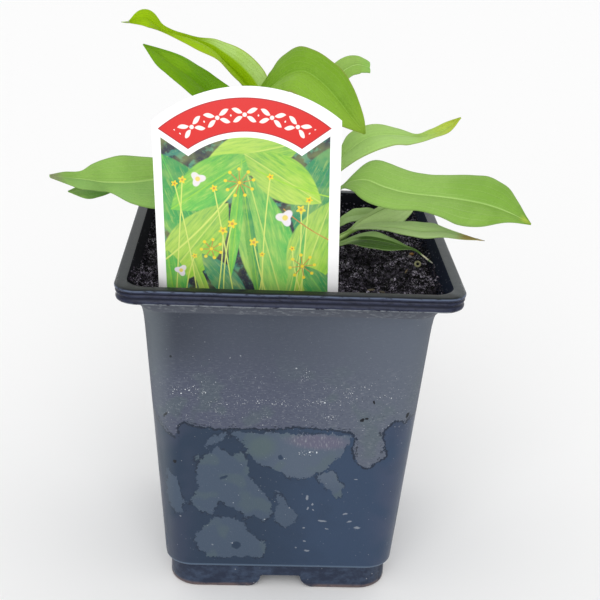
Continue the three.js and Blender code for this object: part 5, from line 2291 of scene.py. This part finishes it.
def leaves() -> list[Leaf]:
    """Describe the plant's leaves, four to the left, two upright and six to the right.

    Returns:
        The twelve leaves.
    """
    grey_tip = srgb(150, 150, 120)
    return [
        Leaf(
            "upper_left",
            stalk=[(3.1, 5.2, 96), (1, 8.5, 106), (-3, 11.5, 118)],
            blade=[(-7.5, 13, 129), (-10.5, 13, 135), (-14.5, 12, 141), (-21.5, 9.5, 148.5), (-25, 8, 152),
                   (-29.5, 6, 154.5), (-36.5, 3, 157), (-41, 1, 160.2), (-45.5, -1, 159.5)],
            left=[3, 4.5, 5.2, 7.1, 8.6, 7.4, 4, 1.2, 3.3],
            right=[3.5, 6.9, 7.3, 6.5, 4.3, 1.4, 1, 1.6, 2.9],
            roll=[-45, -45, -45, -40, -50], fold=[40, 40, 35, 20, 10],
            thread=[(-45.2, -0.9, 159.5), (-46.4, -1.3, 159.5), (-47.3, -1.6, 159.6)],
            # Painted light: the saturated left half stands in for light shining through the leaf, the pale
            # right half for light glancing off it.
            finish=LeafFinish(left=srgb(140, 178, 0), right=srgb(174, 206, 116), tip=srgb(144, 182, 4),
                              vein=srgb(168, 200, 40), margin=srgb(148, 186, 4), rim=srgb(150, 160, 50),
                              tip_from=0.5, tip_full=0.62, split=0.45, rib_strength=0.15, gloss=0.08),
        ),
        Leaf(
            "mid_left",
            stalk=[(1.6, -2.4, 97), (-1, -3, 107), (-4, -2.5, 115)],
            blade=[(-7, -1, 122), (-13, -1, 129.5), (-17, -2, 134.5), (-21.5, -4, 139.5), (-28, -10, 147),
                   (-36, -14, 153.5), (-40, -16, 156.5)],
            left=[2, 3.5, 4.5, 5.3, 5.3, 5.4, 6, 6.8, 5.6, 4.5, 3.7],
            right=[4.4, 7.2, 7, 5.2, 3],
            roll=[-50], fold=[8],
            finish=LeafFinish(left=srgb(106, 150, 8), right=srgb(100, 150, 10), tip=srgb(110, 156, 20),
                              vein=srgb(126, 176, 36), margin=srgb(112, 164, 8), rim=srgb(96, 140, 16),
                              rib_strength=0.2, gloss=0.08,
                              blemishes=(Blemish(-0.5, 0.66, 0.5, 0.16, srgb(92, 140, 4), 0.6),
                                         Blemish(0.3, 0.8, 0.5, 0.12, srgb(128, 170, 30), 0.5))),
        ),
        Leaf(
            "left",
            stalk=[(0.4, 1.5, 97), (-5, 2.5, 104), (-12, 3, 110)],
            blade=[(-19, 3, 114), (-27, 0, 116.5), (-35, -5, 117.5), (-44, -12, 118), (-51, -16, 119),
                   (-55, -19, 120.5), (-59, -21, 121.5), (-63.8, -25, 123)],
            left=[3, 5, 7, 8.5, 9.5, 9.3, 6.8, 3.4, 3.3, 3.3, 2.1],
            right=[2.8, 4.4, 5.4, 5.9, 7.1, 8, 8.1, 7.2, 5.3, 2.3, 1.6],
            tip=0.5,
            roll=[-45], fold=[5],
            finish=LeafFinish(left=srgb(128, 170, 88), right=srgb(136, 178, 82), tip=grey_tip, tip_from=0.9),
        ),
        Leaf(
            "left_lower",
            stalk=[(0.2, -1.3, 96.8), (-7, -1.5, 102), (-16, 1, 107)],
            blade=[(-26, 2, 110.5), (-35, 0, 112.5), (-41, -3, 114), (-48, -7, 115.5), (-53, -10, 115.5),
                   (-61, -14, 115.5)],
            left=[2.4, 3.8, 4.2, 4.1, 3.5, 2.9, 2.7, 3.6, 4],
            right=[4, 5, 4, 3],
            roll=[-30], fold=[10],
            finish=LeafFinish(left=srgb(100, 148, 66), right=srgb(106, 150, 60), tip=srgb(110, 150, 70)),
        ),
        Leaf(
            "upper_right",
            stalk=[(2.4, 1.8, 97.5), (-2, 2, 108), (-8, 3.5, 120)],
            blade=[(-11.5, 4, 132), (-9, 3, 138.5), (-6, 1, 143), (-2, 0, 146.5), (2.5, -2, 148),
                   (7, -4, 145.8), (11, -6, 142.3), (15, -8, 138), (19.5, -10, 133.3)],
            left=[3.1, 5, 5.8, 5.6, 5.4, 7.4, 8.6, 7.1, 6.7, 6.8, 6.4, 5.6, 4.7, 3.7, 2.3],
            right=[4, 7, 9, 9.5, 9.5, 8.6, 5],
            roll=[30, 35, 40], fold=[12],
            # Painted shade: the left half is a little darker than the right, as a half turned from the light.
            finish=LeafFinish(left=srgb(108, 150, 24), right=srgb(126, 168, 44), tip=srgb(130, 166, 40),
                              vein=srgb(160, 196, 88), margin=srgb(128, 172, 46), rim=srgb(136, 140, 64),
                              rib_strength=0.35),
        ),
        Leaf(
            "back",
            stalk=[(6, 5, 96.6), (8.5, 11, 110), (8.5, 15.5, 125)],
            blade=[(7, 17, 137), (12, 18, 142), (15.6, 20, 144.8), (18.6, 22.4, 145.6), (20.9, 23.4, 145.2),
                   (22.7, 24.2, 144.5)],
            left=[2.4, 3.3, 3.4, 2.9],
            right=[2.2, 2.7, 2.8, 3],
            tip=1.9,
            roll=[50], fold=[8],
            finish=LeafFinish(left=srgb(140, 176, 80), right=srgb(140, 180, 76)),
        ),
        Leaf(
            "right_back",
            stalk=[(8.6, 3.6, 97), (9.4, 4, 104), (9.4, 3.2, 110)],
            blade=[(10, 1.5, 115), (14, 3, 122), (17.5, 4, 125.5), (22, 6, 128), (26.5, 8, 128.5),
                   (31.5, 10, 128), (36.5, 11, 127.5), (40.5, 12, 128), (45, 13, 129.5), (49.5, 14, 133)],
            left=[1, 2.2, 4.4, 4.3, 3.9, 2.9, 1.1, 1.9, 2.2],
            right=[2.4, 4.8, 6.2, 6.4, 6, 5.7, 3, 2, 2],
            roll=[25], fold=[10],
            finish=LeafFinish(left=srgb(158, 196, 104), right=srgb(164, 202, 112), tip=srgb(180, 196, 48),
                              rim=srgb(140, 156, 84), tip_from=0.62),
        ),
        Leaf(
            "right",
            stalk=[(7.6, -0.4, 97.5), (8.4, -1.6, 104), (9.4, -2.2, 109)],
            blade=[(11.5, -2.4, 113.5), (14, -4, 116), (17, -6, 118.5), (21, -8, 119.5), (26, -11, 118.5),
                   (32, -14, 118), (40, -18, 118.5), (47, -20.6, 118.5), (53, -23, 118), (59, -25.2, 116.5),
                   (63.8, -27, 114.5)],
            left=[0.7, 1.2, 3.9, 7.5, 8.2, 8.4, 8.2, 7.8, 7.6, 7.6, 8.1, 8.6, 9, 9.3, 9.7, 9, 7.9, 5.1, 2.3],
            right=[2.4, 6.8, 8.8, 8.3, 7.7, 9.1, 11.2, 10.3, 4.4],
            roll=[25], fold=[8],
            finish=LeafFinish(left=srgb(136, 176, 82), right=srgb(134, 174, 80), tip=srgb(110, 152, 44),
                              margin=srgb(150, 190, 90), tip_from=0.45,
                              blemishes=(Blemish(-0.45, 0.76, 0.55, 0.2, srgb(112, 156, 52), 0.45),
                                         Blemish(0.1, 0.99, 0.8, 0.05, srgb(176, 196, 70), 0.7))),
        ),
        Leaf(
            "right_inner",
            stalk=[(10, -1.7, 96.8), (14.9, -2.3, 99.8)],
            blade=[(17.5, -2.6, 102.6), (20.3, -2.6, 105.5), (23.4, -2, 107.4), (26.6, -1, 108.9),
                   (30.1, 0, 110.1), (33.3, 1, 110.6), (36.1, 2, 110.7), (39.2, 3, 110)],
            left=[0.7, 0.9, 1.2, 2.5, 3.0, 1.6],
            right=[2.0, 4.6, 6.2, 6.6, 5.0, 2.2],
            roll=[45], fold=[6],
            finish=LeafFinish(left=srgb(196, 224, 150), right=srgb(198, 226, 152), tip=srgb(190, 218, 140),
                              vein=srgb(100, 140, 60), margin=srgb(190, 220, 140), rim=srgb(120, 154, 84),
                              vein_strength=0.15),
        ),
        Leaf(
            "right_low",
            stalk=[(8.8, -4, 96.6), (13, -5.6, 100.5)],
            blade=[(18, -6, 104), (22, -8, 106), (27, -10, 106.7), (32, -13, 107.3), (37, -16, 107.7),
                   (42, -19, 109), (46.5, -21, 108.6), (51, -22, 108)],
            left=[1.2, 1.8, 2.4, 3.1, 3.3, 1.2, 0.8],
            right=[1.3, 1.7, 2.3, 3.0, 3.5, 3.0, 1.8],
            roll=[25], fold=[10],
            thread=[(50.6, -22, 108.1), (51.8, -22.1, 107.9), (52.9, -22.2, 107.8)],
            finish=LeafFinish(left=srgb(178, 206, 138), right=srgb(182, 208, 142), tip=srgb(172, 144, 74),
                              margin=srgb(176, 208, 130), rim=srgb(120, 150, 84), tip_from=0.82,
                              tip_full=0.92),
        ),
        Leaf(
            "front_low",
            stalk=[(6.2, -5.2, 96.4), (8.5, -8.4, 98.6)],
            blade=[(11.5, -10, 100.5), (14.5, -12, 102), (18, -15, 104.3), (22, -18, 105.5),
                   (26.5, -21, 106), (30.5, -24, 106), (33.5, -26, 106), (36, -27, 104.5),
                   (37.5, -28, 103.5)],
            left=[1.6, 3.0, 1.9, 0.45],
            right=[1.6, 3.4, 4.0, 0.6],
            tip=0.12,
            roll=[25], fold=[10],
            thread=[(37.0, -27.7, 103.8), (37.6, -28, 103.4), (38.2, -28.2, 103.1)],
            # Painted shade: the right half, turned down from the light, is dark, and the leaf darkens towards
            # its tip.
            finish=LeafFinish(left=srgb(126, 156, 92), right=srgb(42, 72, 8), tip=srgb(48, 78, 14),
                              vein=srgb(110, 146, 76), margin=srgb(60, 92, 34), rim=srgb(120, 148, 90),
                              tip_from=0.4, split=-0.35,
                              blemishes=(Blemish(0.1, 0.1, 1.3, 0.24, srgb(136, 168, 96), 0.9),
                                         Blemish(0.0, 0.97, 2.0, 0.07, srgb(196, 192, 164), 0.9))),
        ),
        Leaf(
            "small_inner",
            stalk=[(10.4, 0.7, 96.8), (12.6, 1.5, 99.4)],
            blade=[(14.2, 2.2, 102), (16, 3, 104.3), (18.5, 4, 105), (21.5, 5, 105.2), (25, 6, 105.5),
                   (27.5, 7, 105)],
            left=[1.2, 2.4, 2.0],
            right=[2.5, 2.5, 2],
            roll=[25], fold=[10],
            finish=LeafFinish(left=srgb(178, 208, 136), right=srgb(180, 210, 140), tip=srgb(150, 190, 104),
                              rim=srgb(120, 154, 84)),
        ),
    ]


# Crown


@dataclass(frozen=True)
class CrownFinish:
    """Pale sheathing leaf bases, green above and brown where they meet the soil."""

    pale: Colour = srgb(196, 204, 150)
    green: Colour = srgb(132, 164, 78)
    brown: Colour = srgb(92, 70, 44)
    green_from: float = 95.5
    green_full: float = 99.5
    soil: float = 96.4

    def material(self) -> Material:
        """Make the crown's material.

        Returns:
            The material.
        """
        tree = ShaderTree("crown_sheaths")
        place = tree.place()
        _, _, z = tree.split(place)
        streak = tree.grain(tree.vector("MULTIPLY", place, (1.0, 1.0, 0.12)), 0.5, 3)
        patchy = tree.grain(place, 2.5, 3)
        colour = tree.lay(
            self.pale,
            (z.rise(self.green_from, self.green_full), self.green),
            ((self.soil - z + patchy * 2.4).rise(0.3, 2.2), self.brown),
            (streak.rise(0.5, 0.75) * 0.4, self.green),
        )
        return tree.finish(
            Base_Color=colour,
            Roughness=0.5 + patchy * 0.15,
            Specular_IOR_Level=0.4,
            Normal=tree.bump(streak, 0.15),
        )


@dataclass
class Crown:
    """The short stock under the soil and the open sheath round the foot of each stalk."""

    x: float = 5.0
    y: float = 0.0
    z: float = 92.0
    radius: float = 7.6
    height: float = 5.6
    foot: float = 2.8
    foot_share: float = 0.6
    steps: int = 10
    around: int = 40
    sheath_root: float = 0.45
    sheath_length: float = 1.45
    sheath_wide: float = 3.0
    sheath_deep: float = 1.9
    sheath_top: float = 1.2
    sheath_nudge: float = 0.001
    sheath_steps: int = 18
    sheath_around: int = 20
    finish: CrownFinish = field(default_factory=CrownFinish)

    def build(self, plants: list[Leaf]) -> Piece:
        """Make the stock with a sheath for each leaf.

        Args:
            plants: The leaves.

        Returns:
            The finished crown.
        """
        rings = [self.stock_ring(self.radius * self.foot_share, -self.foot)]
        for step in range(self.steps):
            angle = math.radians(90 * step / self.steps)
            rings.append(self.stock_ring(self.radius * math.cos(angle), self.height * math.sin(angle)))
        faces = tube_faces(len(rings), self.around)
        start = len(rings) * self.around
        for leaf in plants:
            sheath = self.sheath(leaf)
            faces += tube_faces(len(sheath), self.sheath_around, start)
            start += len(sheath) * self.sheath_around
            rings += sheath
        crown = add_mesh("crown_sheaths", np.vstack(rings), faces, sharp=60)
        return dress(crown, "crown", self.finish.material(), "crown")

    def stock_ring(self, radius: float, z: float) -> Points:
        """Return one ring of the stock."""
        angles = [2 * math.pi * i / self.around for i in range(self.around)]
        return [(self.x + radius * math.cos(a), self.y + radius * math.sin(a), self.z + z) for a in angles]

    def sheath(self, leaf: Leaf) -> list[np.ndarray]:
        """Shape the sheath round one stalk: wide and flat in the crown, and closed on the stalk above.

        Args:
            leaf: The stalk's leaf.

        Returns:
            The sheath's rings from below.
        """
        foot = np.array(leaf.stalk[0], float)
        inward = np.array((self.x, self.y, self.z + 1.0)) - foot
        knots = [tuple(foot + inward * self.sheath_root), tuple(foot), *leaf.stalk[1:], *leaf.blade]
        points = even_points(knots, 0, self.sheath_length / (len(knots) - 1), self.sheath_steps)
        ahead = unit(np.gradient(points, axis=0))
        outward = np.array((foot[0] - self.x + self.sheath_nudge, foot[1] - self.y, 0.0))
        sides = unit(np.cross(ahead, outward))
        normals = np.cross(sides, ahead)
        angles = np.arange(self.sheath_around) * math.tau / self.sheath_around
        rings = []
        for i, point in enumerate(points):
            t = i / self.sheath_steps
            close = t * t * (3 - 2 * t)
            wide = self.sheath_wide + (self.sheath_top - self.sheath_wide) * close
            deep = self.sheath_deep + (self.sheath_top - self.sheath_deep) * close
            circle = np.outer(wide * np.cos(angles), sides[i]) + np.outer(deep * np.sin(angles), normals[i])
            rings.append(point + circle)
        return rings


# Studio


@dataclass
class Studio:
    """The camera at the photograph's place, a pale floor and one large soft light under a pale sky.

    Unlike the pieces, it keeps its lengths in metres.
    """

    place: tuple[float, float, float] = (-0.010, -0.3222, 0.2136)
    pitch: float = 22.57
    yaw: float = 2.52
    roll: float = 2.58
    picture_width: float = 600.0
    focal_pixels: float = 1173.0
    sensor: float = 36.0
    nearest: float = 0.01
    farthest: float = 100.0
    floor_reach: float = 12.0
    floor_colour: Colour = (0.92, 0.92, 0.92, 1.0)
    backdrop: float = 1.0
    sky: float = 0.84
    sun_strength: float = 1.45
    sun_width: float = 60.0
    sun_height: float = 29.0
    sun_side: float = -6.0

    def camera(self) -> None:
        """Place the scene's camera."""
        data = bpy.data.cameras.new("camera")
        data.sensor_width = self.sensor
        data.lens = self.focal_pixels / self.picture_width * self.sensor
        data.clip_start = self.nearest
        data.clip_end = self.farthest
        pitch, yaw, roll = (math.radians(angle) for angle in (self.pitch, self.yaw, self.roll))
        ahead = Vector((math.sin(yaw) * math.cos(pitch), math.cos(yaw) * math.cos(pitch), -math.sin(pitch)))
        right = Vector((math.cos(yaw), -math.sin(yaw), 0.0))
        up = right.cross(ahead)
        axis_x = right * math.cos(roll) + up * math.sin(roll)
        axis_y = up * math.cos(roll) - right * math.sin(roll)
        turn = Matrix((axis_x, axis_y, -ahead)).transposed().to_4x4()
        camera = bpy.data.objects.new("camera", data)
        camera.matrix_world = Matrix.Translation(self.place) @ turn
        bpy.context.scene.collection.objects.link(camera)
        bpy.context.scene.camera = camera

    def floor(self) -> None:
        """Lay the pale floor, which isn't part of the object."""
        reach = self.floor_reach / METRES
        corners = [(-reach, -reach, 0), (reach, -reach, 0), (reach, reach, 0), (-reach, reach, 0)]
        floor = add_mesh("floor", corners, [(0, 1, 2, 3)])
        matt = {"Roughness": 0.9, "Specular_IOR_Level": 0.1}
        floor.data.materials.append(ShaderTree("floor").finish(Base_Color=self.floor_colour, **matt))

    def sun(self) -> None:
        """Hang the one light: wide and soft, from above the front and a little to its left."""
        data = bpy.data.lights.new("softbox", "SUN")
        data.energy = self.sun_strength
        data.angle = math.radians(self.sun_width)
        height, side = math.radians(self.sun_height), math.radians(self.sun_side)
        flat = math.cos(height)
        towards = Vector((math.sin(side) * flat, -math.cos(side) * flat, math.sin(height)))
        light = bpy.data.objects.new("softbox", data)
        light.rotation_mode = "QUATERNION"
        light.rotation_quaternion = towards.to_track_quat("Z", "Y")
        bpy.context.scene.collection.objects.link(light)

    def world(self) -> None:
        """Make the surroundings: a white backdrop for the camera and a dimmer sky for everything else."""
        world = bpy.data.worlds.new("sky")
        world.use_nodes = True
        tree = world.node_tree
        backdrop = tree.nodes["Background"]
        backdrop.inputs["Color"].default_value = (1.0, 1.0, 1.0, 1.0)
        seen = add_node(tree, "ShaderNodeLightPath", None, None).outputs["Is Camera Ray"]
        values = {"Value": seen, "To Min": self.sky, "To Max": self.backdrop}
        strength = add_node(tree, "ShaderNodeMapRange", None, values)
        tree.links.new(strength.outputs["Result"], backdrop.inputs["Strength"])
        bpy.context.scene.world = world

    def build(self) -> None:
        """Set up the camera, floor, light and sky."""
        self.camera()
        self.floor()
        self.sun()
        self.world()
        bpy.context.scene.view_settings.view_transform = "Standard"
        LOG.info("studio: camera, floor, sky and one soft light")


def main() -> None:
    """Build the studio and every piece of the plant in its pot."""
    logging.basicConfig(level=logging.INFO, format="%(name)s %(message)s")
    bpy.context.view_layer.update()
    Studio().build()
    Pot().build()
    Soil().build()
    plants = leaves()
    Crown().build(plants)
    LabelCard().build()
    for leaf in plants:
        leaf.build()
        if leaf.thread:
            leaf.build_thread()


if __name__ == "__main__":
    main()
